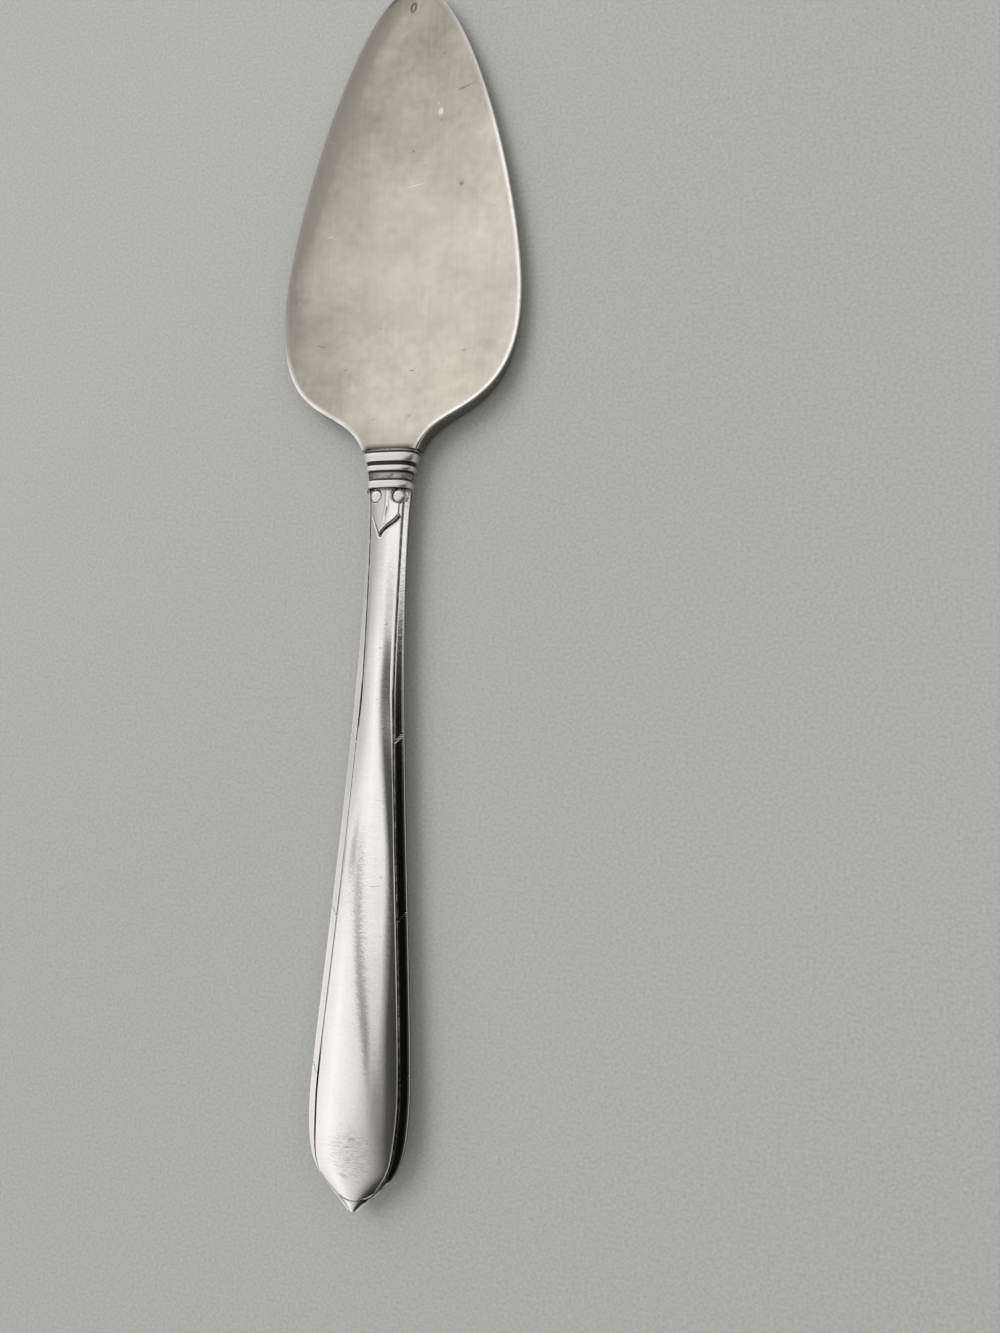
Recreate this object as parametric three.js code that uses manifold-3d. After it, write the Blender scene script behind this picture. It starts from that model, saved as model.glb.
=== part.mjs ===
// Hollow-handle cheese server: a spade blade whose tang runs through a banded neck ferrule
// into a two-shell handle, which is soldered along its sides and filled with cement.
// Millimetres, +Z up, +Y towards the blade tip. A station is a distance from the handle's end.
import * as THREE from 'three';
import { mergeVertices } from 'three/addons/utils/BufferGeometryUtils.js';
import Module from 'manifold-3d';

const wasm = await Module();
wasm.setup();

// Lengths along the server
const handleLength = 89.7;
const ferruleLength = 5.2;
const bladeLength = 63.1;

// Handle outline, seen from above
const handleWidth = 13.2;
const widestStation = 13.5;
const endPull = 8.9;
const pointWidth = 0.5;
const pointPull = 4.5;
const pointSlope = 1.1;
const waistWidth = 5.52;
const waistToFerrule = 8.7;
const waistPull = 21.3;
const widestPull = 6.9;
const mouthWidth = 5.9;
const mouthPull = 3;

// Handle heights, counted from the seam between the shells
const seamHeight = 2.25;
const endLift = 0.9;
const liftLength = 40;
const gripCrown = 1.55;
const gripEnd = 45;
const endCrown = 2.2;
const neckDepth = 1.5;
const pointRise = 0.5;
const endFall = 0.85;
const restStation = 45;
const domeFullness = 2.05;

// Shells and what is between them
const shellWall = 0.5;
const seamGap = 0.2;
const seamRecess = 0.08;
const seamSplit = 0.06;
const cavityStation = 4.5;
const cavityRun = 7;
const cavityFullness = 2.2;
const pointCavityShare = 0.4;

// Thread border along the handle's edges
const rimHeight = 0.35;
const borderWidth = 1;
const borderShare = 0.3;
const borderRise = 0.62;
const borderTaper = [2.2, 9];
const leastBorder = 0.05;
const grooveWidth = 0.22;
const grooveDepth = 0.12;

// Leaf and beads behind the ferrule
const leafLength = 5.9;
const leafWidth = 3.7;
const leafSwell = 2.7;
const leafDraw = 2.1;
const leafSink = 0.2;
const leafRelief = 0.16;
const midribWidth = 0.3;
const midribRelief = 0.28;
const midribStop = 0.7;
const beadRadius = 0.55;
const beadHeight = 0.36;
const beadSpacing = 2.9;
const beadFacets = [12, 8];
const ornamentGap = 0.1;

// Ferrule and its bands, from the handle side to the blade side
const ferruleBackWidth = 6.1;
const ferruleFrontWidth = 7.9;
const ferruleFlare = 1.7;
const ferruleThickness = 3.8;
const ferruleWall = 0.45;
const ovalFullness = 2.6;
const lipLength = 0.1;
const lipDepth = 0.15;
const backBand = 0.95;
const wideGroove = 1.27;
const wideGrooveDepth = 0.22;
const middleBand = 0.7;
const narrowGroove = 0.5;
const narrowGrooveDepth = 0.32;
const frontLip = 0.32;
const frontLipDepth = 0.3;
const bandRound = 0.12;
const bandEase = 0.08;
const socketDepth = 3.2;
const spigotClearance = 0.15;
const spigotWall = 0.45;

// Blade outline, seen from above
const bladeWidth = 32.9;
const heelWidth = 7.8;
const heelToBelly = 19.6;
const heelPull = 6.2;
const heelSlope = 0.35;
const shoulderPull = 16.5;
const flankPull = 9.7;
const tipRound = 2;
const tipWidth = 8;
const tipPull = 7.3;
const tipSlope = 0.88;
const tipFlat = 0.6;

// Blade heights
const bladeThickness = 1.25;
const edgeThickness = 0.7;
const heelThickness = 2.8;
const heelRun = 17;
const dishDepth = 0.75;
const tipDish = 0.35;
const restWidth = 10;
const restShare = 0.5;

// Tang and the cement around it
const tangLength = 45;
const tangRootWidth = 2.4;
const tangEndWidth = 1.7;
const tangThickness = 0.7;
const tangDrop = 0.2;
const tangClearance = 0.3;
const cementBack = 9;
const cementToFerrule = 27;
const cementGap = 0.2;

// Facets: steps along each outline, and shares across half a section
const handleSteps = [12, 17, 4];
const bladeSteps = [15, 16, 6];
const leafSteps = 8;
const ovalSteps = 16;
const domeShares = [1, 0.82, 0.62, 0.42, 0.21, 0];
const bladeShares = [1, 0.85, 0.6, 0.3, 0];
const mergeReach = 1e-4;

// Places worked out from the sizes above
const overallLength = handleLength + ferruleLength + bladeLength;
const heelStation = handleLength + ferruleLength;
const waistStation = handleLength - waistToFerrule;
const bellyStation = heelStation + heelToBelly;
const tangEnd = heelStation - tangLength;
const cementFront = handleLength - cementToFerrule;
const socketHalf = ferruleBackWidth / 2 - ferruleWall;
const socketRise = ferruleThickness / 2 - ferruleWall;
const spigotEnd = handleLength + socketDepth - spigotClearance;
const spigotHalf = socketHalf - spigotClearance;
const spigotRise = socketRise - spigotClearance;
const restDepth = seamHeight - seamGap / 2;
const leafBase = handleLength - ornamentGap;
const tangHeight = seamHeight - tangDrop;

const { lerp, clamp, smoothstep } = THREE.MathUtils;
const point = (x, y) => new THREE.Vector2(x, y);

// Geometry helpers

// A section holds two chains of [x, z] points that run from +X to -X at one station. The loft
// joins the loops of neighbouring sections and closes both ends.
function loft(sections) {
  const loops = sections.map(({ upper, lower }) => [...upper, ...[...lower].reverse()]);
  const size = loops[0].length;
  const positions = sections.flatMap(({ station }, row) => loops[row].flatMap(([x, z]) => [x, station, z]));
  const index = [];
  for (let row = 0; row + 1 < loops.length; row += 1) {
    for (let column = 0; column < size; column += 1) {
      const next = (column + 1) % size;
      const [a, b] = [row * size + column, row * size + next];
      index.push(a, b, b + size, a, b + size, a + size);
    }
  }
  const first = capTriangles(sections[0], 0);
  const last = capTriangles(sections.at(-1), size * (loops.length - 1));
  index.push(...first, ...last.reverse());
  const geometry = new THREE.BufferGeometry();
  geometry.setAttribute('position', new THREE.Float32BufferAttribute(positions, 3));
  geometry.setIndex(index);
  return facingOut(geometry);
}

// Fills a section by stepping along its two chains together, always to the point further right.
function capTriangles({ upper, lower }, offset) {
  const lowerIndex = (step) => offset + upper.length + lower.length - 1 - step;
  const triangles = [];
  let [over, under] = [0, 0];
  while (over + 1 < upper.length || under + 1 < lower.length) {
    const underDone = under + 1 === lower.length;
    const overNext = over + 1 < upper.length && (underDone || upper[over + 1][0] >= lower[under + 1][0]);
    const third = overNext ? offset + over + 1 : lowerIndex(under + 1);
    triangles.push(offset + over, lowerIndex(under), third);
    if (overNext) over += 1;
    else under += 1;
  }
  return triangles;
}

// Turns every triangle round if the closed surface encloses a negative volume.
function facingOut(geometry) {
  const { array } = geometry.getAttribute('position');
  const index = [...geometry.getIndex().array];
  const [a, b, c] = [0, 1, 2].map(() => new THREE.Vector3());
  let volume = 0;
  for (let i = 0; i < index.length; i += 3) {
    [a, b, c].forEach((corner, k) => corner.fromArray(array, index[i + k] * 3));
    volume += a.dot(b.cross(c));
  }
  if (volume < 0) geometry.setIndex(index.reverse());
  return geometry;
}

function toSolid(geometry) {
  const bare = geometry.clone();
  bare.deleteAttribute('normal');
  bare.deleteAttribute('uv');
  const merged = mergeVertices(bare, mergeReach);
  return new wasm.Manifold(new wasm.Mesh({
    numProp: 3,
    vertProperties: new Float32Array(merged.getAttribute('position').array),
    triVerts: new Uint32Array(merged.getIndex().array),
  }));
}

function toGeometry(solid) {
  const { vertProperties, triVerts } = solid.getMesh();
  const geometry = new THREE.BufferGeometry();
  geometry.setAttribute('position', new THREE.Float32BufferAttribute(vertProperties, 3));
  geometry.setIndex([...triVerts]);
  return geometry;
}

// A chain's left half mirrors its right half, whose last point lies on the axis.
function mirrored(rightHalf) {
  const leftHalf = rightHalf.slice(0, -1).reverse().map(([x, z]) => [-x, z]);
  return [...rightHalf, ...leftHalf];
}

const lifted = (chain, base, direction = 1) => chain.map(([x, height]) => [x, base + direction * height]);
const withoutEnds = (chain) => chain.slice(1, -1);

// Outlines, as half widths at stations

function sampled(curves, steps) {
  const points = curves.flatMap((curve, index) => curve.getPoints(steps[index]).slice(index ? 1 : 0));
  return points.map(({ x, y }) => ({ half: x, station: y }));
}

function handleOutline() {
  const end = point(pointWidth / 2, 0);
  const widest = point(handleWidth / 2, widestStation);
  const waist = point(waistWidth / 2, waistStation);
  const mouth = point(mouthWidth / 2, handleLength);
  const endCurve = new THREE.CubicBezierCurve(
    end,
    point(end.x + pointPull * pointSlope, end.y + pointPull),
    point(widest.x, widest.y - endPull),
    widest,
  );
  const gripCurve = new THREE.CubicBezierCurve(
    widest,
    point(widest.x, widest.y + widestPull),
    point(waist.x, waist.y - waistPull),
    waist,
  );
  const neckCurve = new THREE.QuadraticBezierCurve(waist, point(waist.x, mouth.y - mouthPull), mouth);
  return sampled([endCurve, gripCurve, neckCurve], handleSteps);
}

function bladeOutline() {
  const heel = point(heelWidth / 2, heelStation);
  const belly = point(bladeWidth / 2, bellyStation);
  const tipStart = point(tipWidth / 2, overallLength - tipRound);
  const heelCurve = new THREE.CubicBezierCurve(
    heel,
    point(heel.x + heelPull * heelSlope, heel.y + heelPull),
    point(belly.x, belly.y - shoulderPull),
    belly,
  );
  const flankCurve = new THREE.CubicBezierCurve(
    belly,
    point(belly.x, belly.y + flankPull),
    point(tipStart.x + tipPull * tipSlope, tipStart.y - tipPull),
    tipStart,
  );
  const tipCorner = point(tipStart.x - tipRound * tipSlope, overallLength);
  const tipCurve = new THREE.QuadraticBezierCurve(tipStart, tipCorner, point(tipFlat / 2, overallLength));
  return sampled([heelCurve, flankCurve, tipCurve], bladeSteps);
}

// Handle shells

function seamAt(station) {
  return seamHeight + endLift * Math.max(0, 1 - station / liftLength) ** 2;
}

// Both shells fall away to the pointed end.
function toPoint(station, rise) {
  const toEnd = clamp(1 - station / widestStation, 0, 1);
  return lerp(pointRise, rise, (1 - toEnd ** 2) ** endFall);
}

// The top is low along the neck and the grip, and fuller towards the end.
function crownAt(station) {
  const along = smoothstep(gripEnd - station, 0, gripEnd - widestStation);
  return toPoint(station, lerp(gripCrown, endCrown, along));
}

function bellyAt(station) {
  const along = smoothstep(handleLength - station, 0, handleLength - restStation);
  return toPoint(station, lerp(neckDepth, restDepth, along));
}

const domeHeight = (share) => 1 - share ** domeFullness;
const cavityHeight = (share) => 1 - share ** cavityFullness;

// The struck profile: rim, sloping border, groove and dome, as heights from the seam.
function struckProfile(half, rise, station) {
  const taper = lerp(leastBorder, 1, smoothstep(station, ...borderTaper));
  const share = taper * Math.min(1, (borderShare * half) / borderWidth);
  const low = Math.min(1, rise / gripCrown);
  const domeEdge = (rimHeight + borderRise * share) * low;
  const domeHalf = half - (borderWidth + grooveWidth) * share;
  const borderInner = half - borderWidth * share;
  const grooveFloor = [(borderInner + domeHalf) / 2, domeEdge - grooveDepth * share];
  const edge = [[half, 0], [half, rimHeight * low], [borderInner, domeEdge], grooveFloor];
  const dome = domeShares.map((part) => [domeHalf * part, lerp(domeEdge, rise, domeHeight(part))]);
  return mirrored([...edge, ...dome]);
}

function ovalProfile(half, rise, steps) {
  const power = 2 / ovalFullness;
  const rightHalf = Array.from({ length: steps / 2 + 1 }, (_, step) => {
    const angle = (Math.PI * step) / steps;
    return [half * Math.cos(angle) ** power, rise * Math.sin(angle) ** power];
  });
  return mirrored(rightHalf);
}

function hollowProfile(half, rise) {
  return mirrored(domeShares.map((part) => [half * part, rise * cavityHeight(part)]));
}

// The handle's places: outer and inner sizes at every station, with a stepped spigot at the mouth.
function handlePlaces() {
  const body = handleOutline().map(({ half, station }) => {
    const into = clamp((station - cavityStation) / cavityRun, 0, 1);
    const depth = Math.sqrt(1 - (1 - into) ** 2);
    return {
      station,
      half,
      profile: struckProfile,
      hollow: hollowProfile,
      crown: crownAt(station),
      belly: bellyAt(station),
      innerHalf: Math.max(half - shellWall, half * pointCavityShare),
      innerCrown: (crownAt(station) - shellWall) * depth,
      innerBelly: (bellyAt(station) - shellWall) * depth,
    };
  });
  const spigot = [handleLength, spigotEnd].map((station) => ({
    station,
    half: spigotHalf,
    profile: (half, rise) => ovalProfile(half, rise, struckProfile(half, rise, station).length - 1),
    hollow: (half, rise) => ovalProfile(half, rise, hollowProfile(half, rise).length - 1),
    crown: spigotRise,
    belly: spigotRise,
    innerHalf: spigotHalf - spigotWall,
    innerCrown: spigotRise - spigotWall,
    innerBelly: spigotRise - spigotWall,
  }));
  return [...body, ...spigot];
}

function topShell() {
  const sections = handlePlaces().map((place) => {
    const base = seamAt(place.station) + seamGap / 2;
    return {
      station: place.station,
      upper: lifted(place.profile(place.half, place.crown, place.station), base),
      lower: lifted(place.hollow(place.innerHalf, place.innerCrown), base),
    };
  });
  const relief = [leaf(), ...[-1, 1].map(bead)];
  return toGeometry(relief.reduce((shell, raised) => shell.add(raised), toSolid(loft(sections))));
}

function bottomShell() {
  const sections = handlePlaces().map((place) => {
    const base = seamAt(place.station) - seamGap / 2;
    return {
      station: place.station,
      upper: lifted(place.hollow(place.innerHalf, place.innerBelly), base, -1),
      lower: lifted(place.profile(place.half, place.belly, place.station), base, -1),
    };
  });
  return loft(sections);
}

function seamSolder(side) {
  const sections = handlePlaces().map(({ station, half, innerHalf }) => {
    const inner = side * (station < cavityStation ? seamSplit / 2 : innerHalf);
    const outer = side * Math.max(half - seamRecess, half * (1 - pointCavityShare));
    const [right, left] = side > 0 ? [outer, inner] : [inner, outer];
    const middle = seamAt(station);
    return {
      station,
      upper: [[right, middle + seamGap / 2], [left, middle + seamGap / 2]],
      lower: [[right, middle - seamGap / 2], [left, middle - seamGap / 2]],
    };
  });
  return loft(sections);
}

// Ornament on the top shell's dome

// The neck's half width between waist and mouth, read from the outline.
function neckHalf(station) {
  const outline = handleOutline();
  const next = outline.findIndex((place) => place.station >= station);
  const [low, high] = [outline[next - 1], outline[next]];
  return lerp(low.half, high.half, (station - low.station) / (high.station - low.station));
}

// The dome's own points in the struck profile at a station, as [x, z].
function domeChain(station, offset) {
  const chain = struckProfile(neckHalf(station), crownAt(station), station);
  const edgePoints = (chain.length - (2 * domeShares.length - 1)) / 2;
  const dome = chain.slice(edgePoints, chain.length - edgePoints);
  return lifted(dome, seamAt(station) + seamGap / 2 + offset);
}

function raisedDome(relief) {
  const sections = Array.from({ length: leafSteps + 1 }, (_, step) => {
    const station = leafBase - leafLength * (1 - step / leafSteps);
    return { station, upper: domeChain(station, relief), lower: domeChain(station, -leafSink) };
  });
  return toSolid(loft(sections));
}

function prism(shape) {
  const depth = 2 * ferruleThickness;
  return toSolid(new THREE.ExtrudeGeometry(shape, { depth, bevelEnabled: false, curveSegments: leafSteps }));
}

function leaf() {
  const [half, ribHalf] = [leafWidth / 2, midribWidth / 2];
  const tip = leafBase - leafLength;
  const [swell, draw] = [leafBase - leafSwell, tip + leafDraw];
  const outline = new THREE.Shape()
    .moveTo(half, leafBase)
    .lineTo(-half, leafBase)
    .bezierCurveTo(-half, swell, -ribHalf, draw, 0, tip)
    .bezierCurveTo(ribHalf, draw, half, swell, half, leafBase);
  const midrib = new THREE.Shape()
    .moveTo(ribHalf, leafBase)
    .lineTo(-ribHalf, leafBase)
    .lineTo(0, tip + midribStop);
  const blade = raisedDome(leafRelief).intersect(prism(outline));
  return blade.add(raisedDome(midribRelief).intersect(prism(midrib)));
}

function bead(side) {
  const station = leafBase - beadRadius;
  const x = (side * beadSpacing) / 2;
  const chain = domeChain(station, 0);
  const next = chain.findIndex(([chainX]) => chainX <= x);
  const [[x0, z0], [x1, z1]] = [chain[next - 1], chain[next]];
  const ball = new THREE.SphereGeometry(beadRadius, ...beadFacets);
  ball.scale(1, 1, beadHeight / beadRadius);
  ball.translate(x, station, lerp(z0, z1, (x - x0) / (x1 - x0)));
  return toSolid(ball);
}

// Neck ferrule

// Depths below the crest along the ferrule, with eased band edges.
function bandSteps() {
  const behind = lipLength + backBand + wideGroove + middleBand + narrowGroove;
  const frontBand = ferruleLength - behind - frontLip;
  const zones = [
    [lipLength, lipDepth],
    [backBand, 0],
    [wideGroove, wideGrooveDepth],
    [middleBand, 0],
    [narrowGroove, narrowGrooveDepth],
    [frontBand, 0],
    [frontLip, frontLipDepth],
  ];
  let start = handleLength;
  return zones.flatMap(([length, depth]) => {
    const end = start + length;
    const crest = [[start, bandEase], [start + bandRound, 0], [end - bandRound, 0], [end, bandEase]];
    const floor = [[start, depth], [end, depth]];
    start = end;
    return depth ? floor : crest;
  });
}

function ferrule() {
  const sections = bandSteps().map(([station, depth]) => {
    const flare = ((station - handleLength) / ferruleLength) ** ferruleFlare;
    const half = lerp(ferruleBackWidth, ferruleFrontWidth, flare) / 2 - depth;
    const profile = ovalProfile(half, ferruleThickness / 2 - depth, ovalSteps);
    return {
      station,
      upper: lifted(profile, seamHeight),
      lower: lifted(withoutEnds(profile), seamHeight, -1),
    };
  });
  const socketProfile = ovalProfile(socketHalf, socketRise, ovalSteps);
  const socket = loft([handleLength - ferruleWall, handleLength + socketDepth].map((station) => ({
    station,
    upper: lifted(socketProfile, seamHeight),
    lower: lifted(withoutEnds(socketProfile), seamHeight, -1),
  })));
  const slot = new THREE.BoxGeometry(
    tangRootWidth + 2 * tangClearance,
    2 * ferruleLength,
    tangThickness + 2 * tangClearance,
  );
  slot.translate(0, heelStation, tangHeight);
  return toGeometry(toSolid(loft(sections)).subtract(toSolid(socket)).subtract(toSolid(slot)));
}

// Blade, shank and tang

function tangSection(station, clearance) {
  const along = (station - tangEnd) / tangLength;
  const half = lerp(tangEndWidth, tangRootWidth, along) / 2 + clearance;
  const rise = tangThickness / 2 + clearance;
  const toEdge = bladeShares.map((part) => [lerp(half * restShare, half, part), rise]);
  const across = mirrored([...toEdge, [0, rise]]);
  return { station, upper: lifted(across, tangHeight), lower: lifted(across, tangHeight, -1) };
}

function bladeSection({ half, station }) {
  const down = smoothstep(station, heelStation, heelStation + heelRun);
  const toTip = smoothstep(station, bellyStation, overallLength);
  const top = lerp(seamHeight + heelThickness / 2, bladeThickness, down);
  const bottom = lerp(seamHeight - heelThickness / 2, 0, down);
  const dish = lerp(dishDepth, tipDish, toTip) * down;
  const edge = lerp(heelThickness, edgeThickness, down);
  const flat = Math.min(restWidth / 2, half * restShare);
  const upperEnd = top + dish;
  const lowerEnd = upperEnd - edge;
  const chain = (centre, end) => mirrored([
    ...bladeShares.map((part) => [lerp(flat, half, part), lerp(centre, end, part ** 2)]),
    [0, centre],
  ]);
  return { station, upper: chain(top, upperEnd), lower: chain(bottom, lowerEnd) };
}

function blade() {
  const tang = [tangEnd, heelStation].map((station) => tangSection(station, 0));
  return loft([...tang, ...bladeOutline().map(bladeSection)]);
}

// Cement that fills the grip around the tang's end

function cement() {
  const places = handlePlaces().filter(({ station }) => station >= cementBack && station <= cementFront);
  const sections = places.map(({ station, innerHalf, innerCrown, innerBelly }) => {
    const half = innerHalf - cementGap;
    const under = hollowProfile(half, innerBelly - cementGap);
    return {
      station,
      upper: lifted(hollowProfile(half, innerCrown - cementGap), seamAt(station)),
      lower: lifted(withoutEnds(under), seamAt(station), -1),
    };
  });
  const hole = [tangEnd - tangClearance, heelStation].map((station) => tangSection(station, tangClearance));
  return toGeometry(toSolid(loft(sections)).subtract(toSolid(loft(hole))));
}

// Finishes and assembly

const satinPlate = () => new THREE.MeshStandardMaterial({ color: 0xbdbab0, roughness: 0.42, metalness: 1 });
const brightPlate = () => new THREE.MeshStandardMaterial({ color: 0xdfddd4, roughness: 0.18, metalness: 1 });
const solderGrey = () => new THREE.MeshStandardMaterial({ color: 0xa8a69e, roughness: 0.5, metalness: 1 });
const cementTan = () => new THREE.MeshStandardMaterial({ color: 0x9a8f7c, roughness: 0.95, metalness: 0 });

function piece(name, geometry, material) {
  const mesh = new THREE.Mesh(geometry, material);
  mesh.name = name;
  return mesh;
}

const handle = new THREE.Group();
handle.add(
  piece('handle_top_shell', topShell(), brightPlate()),
  piece('handle_bottom_shell', bottomShell(), brightPlate()),
  piece('seam_solder_left', seamSolder(-1), solderGrey()),
  piece('seam_solder_right', seamSolder(1), solderGrey()),
  piece('handle_cement', cement(), cementTan()),
);

const server = new THREE.Group();
server.add(piece('blade', blade(), satinPlate()), piece('neck_ferrule', ferrule(), brightPlate()), handle);
server.position.y = -overallLength / 2;

export default server;
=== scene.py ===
import math
import bmesh
import bpy
import numpy as np
from mathutils.kdtree import KDTree
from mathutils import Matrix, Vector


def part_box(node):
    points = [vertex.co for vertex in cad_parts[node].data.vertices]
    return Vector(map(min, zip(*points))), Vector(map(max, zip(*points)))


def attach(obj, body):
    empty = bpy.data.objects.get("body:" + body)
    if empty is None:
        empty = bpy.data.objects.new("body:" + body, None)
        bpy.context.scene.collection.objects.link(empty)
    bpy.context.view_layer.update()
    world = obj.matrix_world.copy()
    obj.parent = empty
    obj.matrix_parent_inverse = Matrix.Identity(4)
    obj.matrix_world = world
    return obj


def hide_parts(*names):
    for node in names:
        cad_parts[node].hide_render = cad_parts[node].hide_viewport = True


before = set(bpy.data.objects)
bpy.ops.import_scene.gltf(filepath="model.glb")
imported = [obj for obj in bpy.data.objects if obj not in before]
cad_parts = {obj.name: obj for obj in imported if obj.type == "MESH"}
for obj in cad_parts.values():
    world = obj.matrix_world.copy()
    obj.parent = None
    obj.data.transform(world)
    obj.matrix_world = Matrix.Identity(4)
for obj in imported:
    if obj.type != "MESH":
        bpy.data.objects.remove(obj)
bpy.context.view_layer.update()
scene = bpy.context.scene
scene.view_settings.view_transform = "Standard"
toMetres = 0.001  # every size below is in millimetres


def nodeBox(name):
    low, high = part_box(name)
    return np.array(low) / toMetres, np.array(high) / toMetres


# places along the server, as Y in the frame; stations count from the handle's end
handleEnd = nodeBox("handle_top_shell")[0][1]
handleLength = nodeBox("neck_ferrule")[0][1] - handleEnd
heelStation = nodeBox("neck_ferrule")[1][1] - handleEnd
overallLength = nodeBox("blade")[1][1] - handleEnd
handleHalf = nodeBox("handle_top_shell")[1][0]
bladeHalf = nodeBox("blade")[1][0]
print("frame loaded, overall length", round(overallLength, 2))


# small maths

def smooth(value, low, high):
    share = np.clip((value - low) / (high - low), 0, 1)
    return share * share * (3 - 2 * share)


def ramped(value, shape, name):
    # from nothing to one between two named places
    return smooth(value, shape[name + "From"], shape[name + "Full"])


def mix(low, high, share):
    return low + (high - low) * share


def bell(value, width):
    return np.exp(-((value / width) ** 2))


def bezier(points, count):
    t = np.linspace(0, 1, count + 1)[:, None]
    points = np.array(points, float)
    while len(points) > 1:
        points = [mix(a, b, t) for a, b in zip(points[:-1], points[1:])]
    return points[0]


def joined(curves):
    return np.concatenate([curves[0]] + [curve[1:] for curve in curves[1:]])


# node helpers

def feed(tree, socket, value):
    if isinstance(value, bpy.types.NodeSocket):
        tree.links.new(value, socket)
    elif value is not None:
        socket.default_value = value


def addNode(tree, kind, inputs=None, **settings):
    node = tree.nodes.new(kind)
    for key, value in settings.items():
        setattr(node, key, value)
    for label, value in (inputs or {}).items():
        feed(tree, node.inputs[label], value)
    return node


def sums(tree, operation, first, second=None, third=None, clamp=False):
    node = addNode(tree, "ShaderNodeMath", operation=operation, use_clamp=clamp)
    for socket, value in zip(node.inputs, (first, second, third)):
        feed(tree, socket, value)
    return node.outputs[0]


def times(tree, first, second):
    return sums(tree, "MULTIPLY", first, second)


def vectors(tree, operation, first, second=None, scale=None):
    node = addNode(tree, "ShaderNodeVectorMath", {0: first, 1: second, 3: scale}, operation=operation)
    return node.outputs[1 if operation == "LENGTH" else 0]


def combined(tree, x=None, y=None, z=None):
    return addNode(tree, "ShaderNodeCombineXYZ", {"X": x, "Y": y, "Z": z}).outputs[0]


def axesOf(tree, vector):
    return addNode(tree, "ShaderNodeSeparateXYZ", {0: vector}).outputs


def spread(tree, value, low, high, outLow=0.0, outHigh=1.0, style="SMOOTHSTEP"):
    node = addNode(tree, "ShaderNodeMapRange", interpolation_type=style)
    for socket, number in zip(node.inputs[:5], (value, low, high, outLow, outHigh)):
        feed(tree, socket, number)
    return node.outputs[0]


def blendColours(tree, share, first, second, style="MIX"):
    node = addNode(tree, "ShaderNodeMix", data_type="RGBA", blend_type=style)
    for label, value in (("Factor", share), ("A", first), ("B", second)):
        feed(tree, node.inputs[label], value)
    return node.outputs["Result"]


def rgb(red, green, blue):
    return (red, green, blue, 1.0)


def grey(level):
    return rgb(level, level, level)


def newGroup(name, treeKind, inputs, output, outputKind):
    tree = bpy.data.node_groups.new(name, treeKind)
    identifiers = {}
    for label, kind, value in inputs:
        socket = tree.interface.new_socket(label, in_out="INPUT", socket_type="NodeSocket" + kind)
        if value is not None:
            socket.default_value = value
        identifiers[label] = socket.identifier
    tree.interface.new_socket(output, in_out="OUTPUT", socket_type="NodeSocket" + outputKind)
    return tree, addNode(tree, "NodeGroupInput").outputs, addNode(tree, "NodeGroupOutput").inputs, identifiers


# shared surface effects, one node group each
effectShapes = {
    "hairlines": {"patchShift": (7.3, 1.9, 4.4), "patchScale": 0.45, "patchLow": 0.78, "patchHigh": 0.98},
    "cloudiness": {"low": 0.28, "high": 0.72},
    "pinPits": {"smallest": 0.4, "core": 0.4},
}


def effectGroup(name, inputs, output):
    return newGroup(name, "ShaderNodeTree", [("Vector", "Vector", None)] + inputs, output, "Float")[:3]


def makeHairlines(shape):
    # contour lines of a stretched noise read as fine handling scratches
    tree, given, made = effectGroup("hairlines", [
        ("Scale", "Float", 1.0), ("Stretch", "Float", 20.0), ("Turn", "Float", 0.0), ("Width", "Float", 0.02),
        ("Cover", "Float", 0.5)], "Lines")
    turned = addNode(tree, "ShaderNodeVectorRotate", {"Vector": given["Vector"], "Angle": given["Turn"]},
                     rotation_type="Z_AXIS")
    long = sums(tree, "DIVIDE", given["Scale"], given["Stretch"])
    place = vectors(tree, "MULTIPLY", turned.outputs[0], combined(tree, long, given["Scale"], long))
    noise = addNode(tree, "ShaderNodeTexNoise", {"Vector": place, "Scale": 1.0, "Detail": 1.0})
    off = sums(tree, "ABSOLUTE", sums(tree, "SUBTRACT", noise.outputs[0], 0.5))
    line = sums(tree, "SUBTRACT", 1.0, sums(tree, "DIVIDE", off, given["Width"]), clamp=True)
    patches = addNode(tree, "ShaderNodeTexNoise", {
        "Vector": vectors(tree, "ADD", place, shape["patchShift"]), "Scale": shape["patchScale"]})
    low, high = (sums(tree, "SUBTRACT", shape[limit], given["Cover"]) for limit in ("patchLow", "patchHigh"))
    feed(tree, made["Lines"], times(tree, line, spread(tree, patches.outputs[0], low, high)))
    return tree


def makeCloudiness(shape):
    tree, given, made = effectGroup("cloudiness", [("Scale", "Float", 1.0), ("Detail", "Float", 3.0)], "Cloud")
    noise = addNode(tree, "ShaderNodeTexNoise", {
        "Vector": given["Vector"], "Scale": given["Scale"], "Detail": given["Detail"]})
    feed(tree, made["Cloud"], spread(tree, noise.outputs[0], shape["low"], shape["high"], style="LINEAR"))
    return tree


def makePinPits(shape):
    tree, given, made = effectGroup("pinPits", [
        ("Scale", "Float", 1.0), ("Size", "Float", 0.1), ("Share", "Float", 0.3)], "Pits")
    cells = addNode(tree, "ShaderNodeTexVoronoi", {"Vector": given["Vector"], "Scale": given["Scale"]},
                    feature="F1")
    pick = addNode(tree, "ShaderNodeSeparateColor", {0: cells.outputs["Color"]}).outputs
    chosen = sums(tree, "LESS_THAN", pick[0], given["Share"])
    radius = times(tree, given["Size"], spread(tree, pick[1], 0.0, 1.0, shape["smallest"], 1.0))
    pit = spread(tree, cells.outputs["Distance"], radius, times(tree, radius, shape["core"]))
    feed(tree, made["Pits"], times(tree, pit, chosen))
    return tree


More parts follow.
